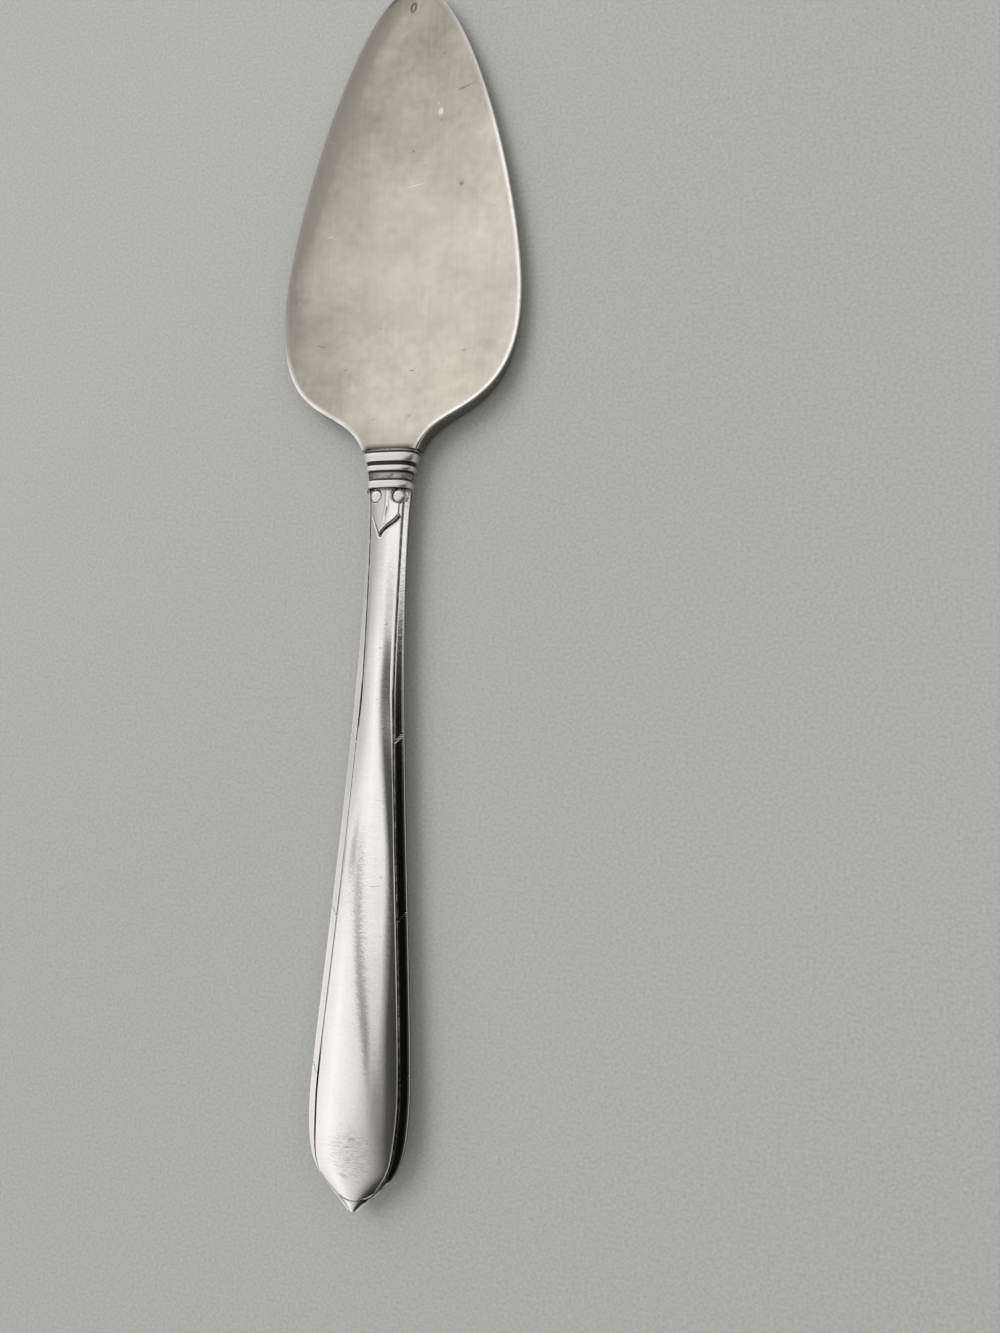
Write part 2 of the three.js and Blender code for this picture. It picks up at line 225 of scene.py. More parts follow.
def makeSpotMark():
    # one soft-edged oval at a chosen place, seen from above
    tree, given, made = effectGroup("spotMark", [
        ("Centre", "Vector", None), ("Length", "Float", 1.0), ("Width", "Float", 0.2), ("Turn", "Float", 0.0),
        ("Soft", "Float", 0.5)], "Mark")
    away = vectors(tree, "SUBTRACT", given["Vector"], given["Centre"])
    turned = addNode(tree, "ShaderNodeVectorRotate", {
        "Vector": vectors(tree, "MULTIPLY", away, (1, 1, 0)), "Angle": times(tree, given["Turn"], -1.0)},
        rotation_type="Z_AXIS")
    size = combined(tree, given["Length"], given["Width"], 1.0)
    reach = vectors(tree, "LENGTH", vectors(tree, "DIVIDE", turned.outputs[0], size))
    feed(tree, made["Mark"], spread(tree, reach, 1.0, sums(tree, "SUBTRACT", 1.0, given["Soft"])))
    return tree


effects = {
    "hairlines": makeHairlines(effectShapes["hairlines"]),
    "cloudiness": makeCloudiness(effectShapes["cloudiness"]),
    "pinPits": makePinPits(effectShapes["pinPits"]),
    "spotMark": makeSpotMark(),
}


def effect(tree, name, **values):
    return addNode(tree, "ShaderNodeGroup", values, node_tree=effects[name]).outputs[0]


# what the finishes share

def newFinish(name):
    material = bpy.data.materials.new(name)
    material.use_nodes = True
    tree = material.node_tree
    shader = next(node for node in tree.nodes if node.type == "BSDF_PRINCIPLED")
    coords = addNode(tree, "ShaderNodeTexCoord")
    place = vectors(tree, "SCALE", coords.outputs["Object"], scale=1 / toMetres)
    return material, tree, shader, place


def setFinish(tree, shader, look, colour, rough, height, metallic=1.0):
    bump = addNode(tree, "ShaderNodeBump", {
        "Strength": look["bumpStrength"], "Distance": look["bumpDistance"], "Height": height})
    for label, value in (("Base Color", colour), ("Roughness", rough), ("Metallic", metallic),
                         ("Normal", bump.outputs[0])):
        feed(tree, shader.inputs[label], value)


def masked(tree, name):
    return addNode(tree, "ShaderNodeAttribute", attribute_name=name).outputs["Fac"]


def largest(tree, masks):
    total = masks[0]
    for mask in masks[1:]:
        total = sums(tree, "MAXIMUM", total, mask)
    return total


def strongest(tree, masks, weights):
    return largest(tree, [times(tree, masks[name], weight) for name, weight in weights.items()])


def addedUp(tree, masks, weights, total=0.0):
    for name, weight in weights.items():
        total = sums(tree, "MULTIPLY_ADD", masks[name], weight, total)
    return total


def onServer(x, station):
    return (x, station + handleEnd, 0.0)


def placedMarks(tree, place, marks, soft):
    spots = []
    for x, station, length, width, turn, strength in marks:
        spot = effect(tree, "spotMark", Vector=place, Centre=onServer(x, station), Length=length, Width=width,
                      Turn=math.radians(turn), Soft=soft)
        spots.append(times(tree, spot, strength))
    return largest(tree, spots)


def aboveOnly(tree, place, mask, limits):
    return times(tree, mask, spread(tree, axesOf(tree, place)["Z"], *limits))


def raggedPlace(tree, place, wobble):
    # a small wobble that keeps marks from looking drawn
    noise = addNode(tree, "ShaderNodeTexNoise", {"Vector": place, "Scale": wobble["scale"]})
    centred = vectors(tree, "SUBTRACT", noise.outputs["Color"], (0.5, 0.5, 0.5))
    return vectors(tree, "ADD", place, vectors(tree, "SCALE", centred, scale=wobble["reach"]))


def scratched(tree, place, sets):
    return largest(tree, [effect(tree, "hairlines", Vector=place, **values) for values in sets])


def plateMasks(tree, place, look):
    masks = {name: effect(tree, "cloudiness", Vector=place, **cloud) for name, cloud in look["clouds"].items()}
    masks["lines"] = scratched(tree, place, look["hairlines"])
    masks["pits"] = effect(tree, "pinPits", Vector=place, **look["pits"])
    masks["recess"] = masked(tree, "recess")
    return masks


# the blade's satin plate; a mark is x, station, half length, half width, turn in degrees and strength
satinLook = {
    # dullColour is the dark end of the real mottling and of the painted shade
    "colour": rgb(0.80, 0.768, 0.663), "dullColour": rgb(0.36, 0.34, 0.285),
    "wornAndGleamColour": rgb(0.92, 0.895, 0.815), "darkColour": rgb(0.10, 0.09, 0.07),
    "roughness": 0.38, "wornRoughness": 0.20, "roughSpread": 0.10,
    "bumpDistance": 0.00003, "bumpStrength": 0.3,
    "clouds": {"broad": {"Scale": 0.11, "Detail": 4.0}, "blotchy": {"Scale": 0.36, "Detail": 3.0},
               "fine": {"Scale": 0.8, "Detail": 4.0}},
    "brush": (2.6, 0.10, 1.0), "brushDetail": 3.0, "brushDepth": 0.3,
    "hairlines": ({"Scale": 1.6, "Stretch": 26.0, "Turn": 0.25, "Width": 0.010, "Cover": 0.36},
                  {"Scale": 2.4, "Stretch": 30.0, "Turn": 1.45, "Width": 0.012, "Cover": 0.36}),
    "lineGleam": 0.10,
    "pits": {"Scale": 0.5, "Size": 0.07, "Share": 0.3},
    "wornPatches": (0.1, 0.6, 0.6, 1.0),  # cloud from and to, wear from and to
    # painted shade: an axis of the frame, where the darkening starts and is full, and how much it does
    "shadeTowards": (("X", 3.0, -17.0, 0.49), ("Y", 39.0, 81.0, 0.70), ("Y", 38.0, 24.0, 0.13)),
    "shadeMost": 0.60, "shadeSoft": 0.4,
    "dullWeights": {"broad": 0.30, "blotchy": 0.14, "fine": 0.10, "brushed": 0.07, "shade": 0.60},
    "darkWeights": {"pits": 0.4, "dark": 1.0, "recess": 1.0},
    "cutWeights": {"lines": 0.4, "pits": 1.0, "dark": 1.0},
    "wobble": {"scale": 2.2, "reach": 0.35}, "upperSide": (0.8, 1.0), "markSoft": 0.75,
    "darkMarks": ((7.6, 143.6, 1.7, 0.14, 16, 0.55), (4.3, 148.7, 0.3, 0.2, 0, 0.3),
                  (0.6, 135.6, 0.22, 0.16, 0, 0.5), (2.2, 133.5, 0.2, 0.15, 0, 0.4),
                  (7.6, 130.5, 0.5, 0.42, 20, 0.6), (4.3, 139.6, 0.2, 0.3, 0, 0.35),
                  (2.1, 105.6, 0.55, 0.16, 0, 0.6), (-7.2, 106.2, 0.5, 0.16, 8, 0.35),
                  (-11.0, 109.7, 1.4, 0.12, -14, 0.35), (-2.9, 111.8, 0.25, 0.2, 0, 0.35),
                  (-15.0, 115.8, 0.3, 0.25, 0, 0.4), (9.0, 108.0, 0.5, 0.25, 10, 0.25),
                  (2.5, 99.2, 0.45, 0.3, 30, 0.3), (-2.3, 98.9, 0.5, 0.25, 0, 0.25)),
    "paleMarks": ((4.2, 140.7, 0.75, 0.45, 75, 0.8), (1.2, 130.9, 1.9, 0.12, 9, 0.7),
                  (-10.8, 124.8, 0.7, 0.14, 12, 0.7), (3.9, 141.9, 0.2, 0.35, 0, 0.3)),
    "ring": {"place": (-0.3, 155.7), "outer": (0.95, 0.62), "inner": (0.55, 0.22), "turn": 70, "strength": 0.85,
             "soft": 0.5},
}


def ringMark(tree, place, ring):
    outer, inner = (placedMarks(tree, place, [(*ring["place"], *ring[edge], ring["turn"], 1.0)], ring["soft"])
                    for edge in ("outer", "inner"))
    return times(tree, sums(tree, "SUBTRACT", outer, inner, clamp=True), ring["strength"])


def satinPlate(look):
    material, tree, shader, place = newFinish("satinPlate")
    masks = plateMasks(tree, place, look)
    along = vectors(tree, "MULTIPLY", place, look["brush"])
    masks["brushed"] = effect(tree, "cloudiness", Vector=along, Scale=1.0, Detail=look["brushDetail"])
    masks["shade"] = masked(tree, "shade")
    ragged = raggedPlace(tree, place, look["wobble"])
    dark = placedMarks(tree, ragged, look["darkMarks"], look["markSoft"])
    dark = largest(tree, [dark, ringMark(tree, place, look["ring"])])
    pale = placedMarks(tree, ragged, look["paleMarks"], look["markSoft"])
    masks["dark"], pale = (aboveOnly(tree, place, marks, look["upperSide"]) for marks in (dark, pale))
    # real rim wear, with a painted highlight that is stronger on the right
    worn = times(tree, masked(tree, "wearAndGleam"), spread(tree, masks["fine"], *look["wornPatches"]))
    # painted shade, darker towards the tip, the left and the heel; the real mottling and the painted shade along
    # the left rim are added to it
    axes, dull = axesOf(tree, place), 0.0
    for axis, start, full, weight in look["shadeTowards"]:
        dull = sums(tree, "MULTIPLY_ADD", spread(tree, axes[axis], start, full), weight, dull)
    dull = sums(tree, "SMOOTH_MIN", dull, look["shadeMost"], look["shadeSoft"])
    dull = addedUp(tree, masks, look["dullWeights"], dull)
    colour = blendColours(tree, dull, look["colour"], look["dullColour"])
    for share in (times(tree, masks["lines"], look["lineGleam"]), largest(tree, [worn, pale])):
        colour = blendColours(tree, share, colour, look["wornAndGleamColour"])
    # the recess mask is painted shade in the heel crease and on the side walls
    colour = blendColours(tree, strongest(tree, masks, look["darkWeights"]), colour, look["darkColour"])
    uneven = sums(tree, "SUBTRACT", masks["fine"], 0.5)
    rough = sums(tree, "MULTIPLY_ADD", uneven, look["roughSpread"], look["roughness"])
    rough = sums(tree, "MULTIPLY_ADD", worn, look["wornRoughness"] - look["roughness"], rough)
    cuts = strongest(tree, masks, look["cutWeights"])
    height = sums(tree, "SUBTRACT", times(tree, masks["brushed"], look["brushDepth"]), cuts)
    setFinish(tree, shader, look, colour, rough, height)
    return material


# the handle's bright plate, dark in its recesses with patina and painted shade; marks are given as on the blade
brightLook = {
    "colour": rgb(0.95, 0.935, 0.87), "dullColour": rgb(0.81, 0.79, 0.72), "tarnishAndShade": rgb(0.055, 0.05, 0.045),
    "roughness": 0.065, "dullRoughness": 0.20, "bumpDistance": 0.00003, "bumpStrength": 0.13,
    "clouds": {"broad": {"Scale": 0.16, "Detail": 3.0}, "fine": {"Scale": 1.1, "Detail": 4.0},
               "grain": {"Scale": 3.4, "Detail": 3.0}},
    "hairlines": ({"Scale": 3.2, "Stretch": 12.0, "Turn": 0.1, "Width": 0.03, "Cover": 0.42},
                  {"Scale": 2.6, "Stretch": 16.0, "Turn": 1.5, "Width": 0.025, "Cover": 0.42},
                  {"Scale": 2.8, "Stretch": 12.0, "Turn": 0.75, "Width": 0.02, "Cover": 0.40}),
    "scuffLines": ({"Scale": 3.6, "Stretch": 9.0, "Turn": 0.04, "Width": 0.035, "Cover": 0.60},
                   {"Scale": 5.0, "Stretch": 11.0, "Turn": -0.14, "Width": 0.03, "Cover": 0.56}),
    "scuff": (-0.1, 7.2, 4.4, 4.6, 0, 1.0), "scuffSoft": 0.8,  # the scuffed patch, given as a mark
    "pits": {"Scale": 0.9, "Size": 0.09, "Share": 0.35},
    "patinaPatches": (0.0, 0.7, 0.7, 1.0),  # cloud from and to, patina from and to
    "dullWeights": {"broad": 0.35, "grain": 0.35, "lines": 0.35},
    "darkWeights": {"scuffs": 0.5, "pits": 0.35, "marks": 0.5, "patinaAndShade": 1.0},
    "roughWeights": {"recess": 1.0, "grain": 0.12, "lines": 0.12, "scuffs": 1.0},
    "grainWeights": {"fine": 0.40, "grain": 0.25},
    "cutWeights": {"lines": 0.06, "scuffs": 0.3, "pits": 0.5, "marks": 1.0},
    "wobble": {"scale": 2.4, "reach": 0.3}, "upperSide": (3.0, 3.2), "markSoft": 0.75,
    "marks": ((0.9, 72.2, 0.35, 0.16, 20, 0.6), (0.4, 69.2, 0.3, 0.14, -20, 0.6),
              (0.3, 62.7, 0.3, 0.13, 10, 0.5), (1.9, 51.2, 0.3, 0.12, 0, 0.5),
              (1.9, 40.6, 0.3, 0.14, 0, 0.5), (1.3, 50.1, 0.9, 0.07, 0, 0.4),
              (1.1, 39.5, 1.2, 0.07, 4, 0.45), (0.1, 9.1, 0.75, 0.4, 10, 0.75),
              (-2.0, 9.0, 0.9, 0.09, 0, 0.45), (-0.4, 6.5, 0.6, 0.10, 8, 0.6),
              (-0.9, 4.5, 0.95, 0.4, -10, 0.7), (1.6, 7.3, 0.6, 0.2, 5, 0.4)),
}
# the bands and beads are the same plate, rubbed softer
bandLook = {**brightLook, "colour": rgb(0.82, 0.805, 0.75), "roughness": 0.30, "dullRoughness": 0.46,
            "bumpStrength": 0.08}


def brightPlate(name, look):
    material, tree, shader, place = newFinish(name)
    masks = plateMasks(tree, place, look)
    ragged = raggedPlace(tree, place, look["wobble"])
    patch = placedMarks(tree, ragged, [look["scuff"]], look["scuffSoft"])
    scuffs = times(tree, patch, scratched(tree, place, look["scuffLines"]))
    marks = placedMarks(tree, ragged, look["marks"], look["markSoft"])
    for label, mask in (("scuffs", scuffs), ("marks", marks)):
        masks[label] = aboveOnly(tree, place, mask, look["upperSide"])
    # the recess mask holds patina in the cuts and painted shade in the right groove and near the end
    masks["patinaAndShade"] = times(tree, masks["recess"], spread(tree, masks["fine"], *look["patinaPatches"]))
    dull = addedUp(tree, masks, look["dullWeights"])
    colour = blendColours(tree, dull, look["colour"], look["dullColour"])
    colour = blendColours(tree, strongest(tree, masks, look["darkWeights"]), colour, look["tarnishAndShade"])
    dulled = strongest(tree, masks, look["roughWeights"])
    rough = spread(tree, dulled, 0.0, 1.0, look["roughness"], look["dullRoughness"])
    cuts = strongest(tree, masks, look["cutWeights"])
    height = sums(tree, "SUBTRACT", addedUp(tree, masks, look["grainWeights"]), cuts)
    setFinish(tree, shader, look, colour, rough, height)
    return material


# dull plate down in the collar, which polishing never reaches, darker on the left, with painted shade next to
# the bands
collarLook = {
    "colour": rgb(0.54, 0.515, 0.46), "tarnishAndShade": rgb(0.05, 0.045, 0.04), "smoothest": 0.38, "roughest": 0.55,
    "bumpDistance": 0.00003, "bumpStrength": 0.3, "cloud": {"Scale": 2.2, "Detail": 4.0},
    "patches": (0.45, 0.95, 0.0, 0.6),  # cloud from and to, tarnish from and to
    "leftward": (1.6, -2.0, 0.0, 0.75), "ragged": 2.0,  # x from and to, tarnish from and to
}


def collarPlate(look):
    material, tree, shader, place = newFinish("collarPlate")
    fine = effect(tree, "cloudiness", Vector=place, **look["cloud"])
    across = sums(tree, "MULTIPLY_ADD", fine, look["ragged"], axesOf(tree, place)["X"])
    patinaAndShade = largest(tree, [masked(tree, "recess"), spread(tree, fine, *look["patches"]),
                            spread(tree, across, *look["leftward"])])
    rough = spread(tree, fine, 0.0, 1.0, look["smoothest"], look["roughest"])
    setFinish(tree, shader, look, blendColours(tree, patinaAndShade, look["colour"], look["tarnishAndShade"]), rough, fine)
    return material


# the solder run and the filler, which show at the seam or not at all
innerLooks = {
    "solder": {"colour": rgb(0.46, 0.45, 0.42), "dark": rgb(0.13, 0.12, 0.11), "metallic": 1.0,
               "cloud": {"Scale": 1.4, "Detail": 5.0}, "smoothest": 0.38, "roughest": 0.6,
               "bumpDistance": 0.00004, "bumpStrength": 0.4},
    "cement": {"colour": rgb(0.36, 0.31, 0.23), "dark": rgb(0.22, 0.18, 0.13), "metallic": 0.0,
               "cloud": {"Scale": 0.8, "Detail": 5.0}, "smoothest": 0.85, "roughest": 0.98,
               "bumpDistance": 0.0001, "bumpStrength": 0.5},
}


def mottledFinish(name, look):
    material, tree, shader, place = newFinish(name)
    cloud = effect(tree, "cloudiness", Vector=place, **look["cloud"])
    colour = blendColours(tree, cloud, look["colour"], look["dark"])
    rough = spread(tree, cloud, 0.0, 1.0, look["smoothest"], look["roughest"])
    setFinish(tree, shader, look, colour, rough, cloud, look["metallic"])
    return material


satin = satinPlate(satinLook)
bright = brightPlate("brightPlate", brightLook)
softBright = brightPlate("softBrightPlate", bandLook)
collar = collarPlate(collarLook)
solder = mottledFinish("solderGrey", innerLooks["solder"])
cement = mottledFinish("cementFill", innerLooks["cement"])
print("finishes made")


# meshes from rows of sections

def capFaces(upper, lower, first):
    # steps along both chains together, always to the point further right
    faces = []
    total = len(upper) + len(lower)
    over = under = 0
    while over + 1 < len(upper) or under + 1 < len(lower):
        stepOver = over + 1 < len(upper) and (
            under + 1 == len(lower) or upper[over + 1][0] >= lower[under + 1][0])
        third = over + 1 if stepOver else total - 1 - (under + 1)
        faces.append((first + over, first + total - 1 - under, first + third))
        over, under = (over + 1, under) if stepOver else (over, under + 1)
    return faces


def ringFaces(rows, size, closed=False):
    index = np.arange(rows * size).reshape(rows, size)
    if closed:
        index = np.concatenate([index, index[:1]])
    low, high = index[:-1], index[1:]
    quads = np.stack([low, np.roll(low, -1, 1), np.roll(high, -1, 1), high], -1)
    return [tuple(face) for face in quads.reshape(-1, 4).tolist()]


def facingOut(points, faces):
    fans = [(face[0], face[k], face[k + 1]) for face in faces for k in range(1, len(face) - 1)]
    a, b, c = (points[[fan[corner] for fan in fans]] for corner in range(3))
    volume = np.einsum("ij,ij->", a, np.cross(b, c))
    return faces if volume > 0 else [face[::-1] for face in faces]


def makePiece(name, points, faces, material, masks, crease=38):
    points = np.asarray(points, float).reshape(-1, 3)
    mesh = bpy.data.meshes.new(name)
    placed = (points + np.array([0, handleEnd, 0])) * toMetres
    mesh.from_pydata(placed.tolist(), [], facingOut(points, faces))
    for label, values in masks.items():
        attribute = mesh.attributes.new(label, "FLOAT", "POINT")
        attribute.data.foreach_set("value", np.clip(values, 0, 1).astype(np.float32).ravel())
    mesh.shade_smooth()
    mesh.set_sharp_from_angle(angle=math.radians(crease))
    mesh.materials.append(material)
    piece = bpy.data.objects.new(name, mesh)
    scene.collection.objects.link(piece)
    return piece


def loft(name, upper, lower, material, masks):
    # chains run from the right edge to the left one, row by row along the server
    loops = np.concatenate([upper, lower[:, ::-1]], 1)
    rows, size = loops.shape[:2]
    faces = ringFaces(rows, size)
    faces += capFaces(upper[0].tolist(), lower[0].tolist(), 0)
    last = capFaces(upper[-1].tolist(), lower[-1].tolist(), (rows - 1) * size)
    faces += [face[::-1] for face in last]
    filled = {label: np.concatenate([above, below[:, ::-1]], 1) for label, (above, below) in masks.items()}
    return makePiece(name, loops, faces, material, filled)


def chainOf(x, station, height):
    return np.stack(np.broadcast_arrays(x, station, height), -1)


def mirrored(right, signs):
    # right half first, its last point on the axis
    return np.concatenate([right, right[:, -2::-1] * signs], 1)


def ovalChain(half, rise, count, fullness, station, middle):
    angle = np.linspace(0, math.pi, count)
    power = 2 / fullness
    x = half * np.sign(np.cos(angle)) * np.abs(np.cos(angle)) ** power
    return chainOf(x, station, middle + rise * np.abs(np.sin(angle)) ** power)


# the handle: outline from above, heights along it, and the struck profile across it
handleShape = {
    "pointHalf": 0.6, "pointPull": 4.5, "pointSlope": 0.95, "widestStation": 13.5, "endPull": 9.5,
    "widestPull": 6.9, "waistHalf": 2.76, "waistFromMouth": 8.7, "waistPull": 21.3, "mouthHalf": 3.05,
    "mouthPull": 3.0, "curveSteps": 2000, "mouthSteps": 1000,
    "seamHeight": 2.25, "endLift": 0.9, "liftLength": 40.0, "seamGap": 0.2,
    "gripRise": 1.55, "endRise": 2.2, "pointRise": 0.5, "endFall": 0.85, "neckDepth": 1.5,
    "gripEnd": 45.0, "restStation": 45.0, "wall": 0.5, "fullness": 2.05,
    # the rim and the border inside it
    "rim": 0.35, "rimRound": 0.1, "rimShare": 0.3, "rimTurns": (30, 60, 90), "edgeDark": 0.5,
    "border": 1.0, "borderShare": 0.30, "borderRise": 0.62, "borderBulge": 0.012, "borderIn": 0.12,
    "borderParts": (0.2, 0.4, 0.6, 0.8, 0.95), "borderStart": 1.2, "borderFull": 9.6, "leastBorder": 0.02,
    "neckShare": 0.58, "neckFrom": 62.0, "neckFull": 84.0,
    # taper and end darks: painted shade on the rim and on the right border near the end
    "taperDark": 0.85, "taperRun": 5.0, "endDark": 0.9, "endDarkFrom": 3.0, "endDarkFull": 5.5,
    # the groove, as share of its width, depth, lift and darkness, then the ledge at the foot of the dome
    "grooveParts": ((0.0, 0.12, 0, 0.2), (0.22, 0.65, 0, 0.8), (0.5, 1.0, 0.2, 1.0), (0.78, 0.6, 0.7, 0.8),
                    (1.0, 0.1, 1, 0.1)),
    "groove": 0.28, "grooveDepth": 0.16, "neckGroove": 1.0, "grooveFrom": 62.0, "grooveFull": 74.0,
    "shallow": 0.5, "shallowFrom": 12.0, "shallowFull": 22.0, "deepFrom": 56.0, "deepFull": 66.0,
    "faint": 1.0, "faintFrom": 0.05, "faintFull": 0.5, "rightGrooveShade": 0.9,
    "ledge": 0.32, "thinLedge": 0.02, "ledgeFrom": 48.0, "ledgeFull": 67.0, "ledgeParts": (0.15, 1.0),
    "neckEase": 0.42, "easeFrom": 56.0, "easeFull": 67.0, "neckLift": 0.26, "liftFrom": 60.0, "liftFull": 72.0,
    # the hollow and the stepped spigot
    "cavityStation": 4.5, "cavityRun": 7.0, "cavityFullness": 2.2, "cavityLeast": 0.4, "cavityCount": 15,
    "spigotLength": 3.05, "spigotHalf": 2.45, "spigotRise": 1.3, "spigotWall": 0.45, "spigotFullness": 2.6,
}
# what differs on the left side
leftHandle = {"ledge": 0.02, "borderRise": 0.50, "borderStart": 3.4, "borderFull": 11.4, "shallow": 0.3,
              "neckEase": 0.0, "faint": 0.35, "endDark": 0.0, "neckGroove": 0.75, "neckLift": 0.0}
# rows along the shells, dense where the ornament and the small cuts are
handleRows = {
    "top": {"end": 40, "swell": 0.14, "grip": 0.45, "leaf": 0.07, "dome": 30},
    "bottom": {"end": 18, "swell": 0.4, "grip": 0.9, "leaf": 0.5, "dome": 16},
    "endPower": 1.4, "swellFrom": 3.0, "gripFrom": 14.0, "leafFrom": 81.0, "nickSpan": 1.0, "nickStep": 0.05,
    "leastStep": 0.02,
}
nickShape = {
    "stations": (16.5, 36.0, 58.0), "columns": 11, "slant": 1.2, "width": 0.05, "depth": 0.04,
    "lap": 0.02, "lapRun": 0.9, "lapStart": 0.08, "borderFrom": -0.05, "borderFull": 0.12,
}
leafShape = {
    "base": 89.5, "shoulder": 86.4, "tip": 83.4, "lean": -0.45, "relief": 0.20, "edge": 0.24, "gap": 0.02,
    "cut": 0.16, "cutWidth": 0.15, "thinCut": 0.11,
    "tipFrom": 83.25, "tipFull": 83.5, "joinFrom": 0.9, "joinFull": 1.0,
    "ribLean": 0.3, "ribRun": 4.2, "rib": 0.07, "ribCrest": 0.144, "ribHalf": 0.24, "ribCut": 0.06,
    "ribCutWidth": 0.09, "ribFrom": 84.6, "ribFull": 88.0, "ribDarkLeft": 0.5, "ribDarkRight": 0.25,
    "baseDark": 0.9, "baseFrom": 89.15, "baseFull": 89.55,
}
beadShape = {
    "spacing": 3.0, "shift": 0.2, "station": 88.75, "radius": 0.72, "height": 0.26, "lift": 0.03, "seat": 1.6,
    "seatFrom": 0.04, "seatFull": 0.24, "moatDepth": 0.08, "moat": 0.12, "moatDark": 0.9,
    "lean": 0.2, "leanRun": 0.1, "segments": 32, "rings": 20, "flatness": 0.5,
}
endShape = {"station": 1.45, "half": 1.75, "bow": 0.4, "drop": 0.16, "least": 0.12, "step": 0.12, "dark": 0.9,
            "fade": 0.3, "reach": 4.0}


def handleCurve(shape):
    widest = (handleHalf, shape["widestStation"])
    waist = (shape["waistHalf"], handleLength - shape["waistFromMouth"])
    point, mouth = (shape["pointHalf"], 0.0), (shape["mouthHalf"], handleLength)
    end = bezier([point, (point[0] + shape["pointPull"] * shape["pointSlope"], shape["pointPull"]),
                  (widest[0], widest[1] - shape["endPull"]), widest], shape["curveSteps"])
    grip = bezier([widest, (widest[0], widest[1] + shape["widestPull"]),
                   (waist[0], waist[1] - shape["waistPull"]), waist], shape["curveSteps"])
    neck = bezier([waist, (waist[0], mouth[1] - shape["mouthPull"]), mouth], shape["mouthSteps"])
    return joined([end, grip, neck])


def halfAt(stations, shape):
    # half width and its slope along the handle
    curve = handleCurve(shape)
    half = np.interp(stations, curve[:, 1], curve[:, 0])
    return half, np.interp(stations, curve[:, 1], np.gradient(curve[:, 0], curve[:, 1]))


def handleStations(rows, steps, nicks):
    spans = [np.linspace(0, 1, steps["end"]) ** rows["endPower"] * rows["swellFrom"], [handleLength]]
    stops = (rows["swellFrom"], rows["gripFrom"], rows["leafFrom"], handleLength)
    for first, last, part in zip(stops[:-1], stops[1:], ("swell", "grip", "leaf")):
        spans.append(np.arange(first, last, steps[part]))
    for station in nicks:
        spans.append(station + np.arange(-rows["nickSpan"], rows["nickSpan"], rows["nickStep"]))
    stations = np.unique(np.round(np.concatenate(spans), 4))
    keep = np.concatenate([[True], np.diff(stations) > rows["leastStep"]])
    keep[-1] = True
    return stations[keep]


def seamAt(station, shape):
    return shape["seamHeight"] + shape["endLift"] * np.maximum(0, 1 - station / shape["liftLength"]) ** 2


def toPoint(station, rise, shape):
    toEnd = np.clip(1 - station / shape["widestStation"], 0, 1)
    return mix(shape["pointRise"], rise, (1 - toEnd**2) ** shape["endFall"])


def crownAt(station, shape):
    # low along the neck and the grip, fuller towards the end
    along = smooth(shape["gripEnd"] - station, 0, shape["gripEnd"] - shape["widestStation"])
    return toPoint(station, mix(shape["gripRise"], shape["endRise"], along), shape)


def bellyAt(station, shape):
    along = smooth(handleLength - station, 0, handleLength - shape["restStation"])
    rest = shape["seamHeight"] - shape["seamGap"] / 2
    return toPoint(station, mix(shape["neckDepth"], rest, along), shape)


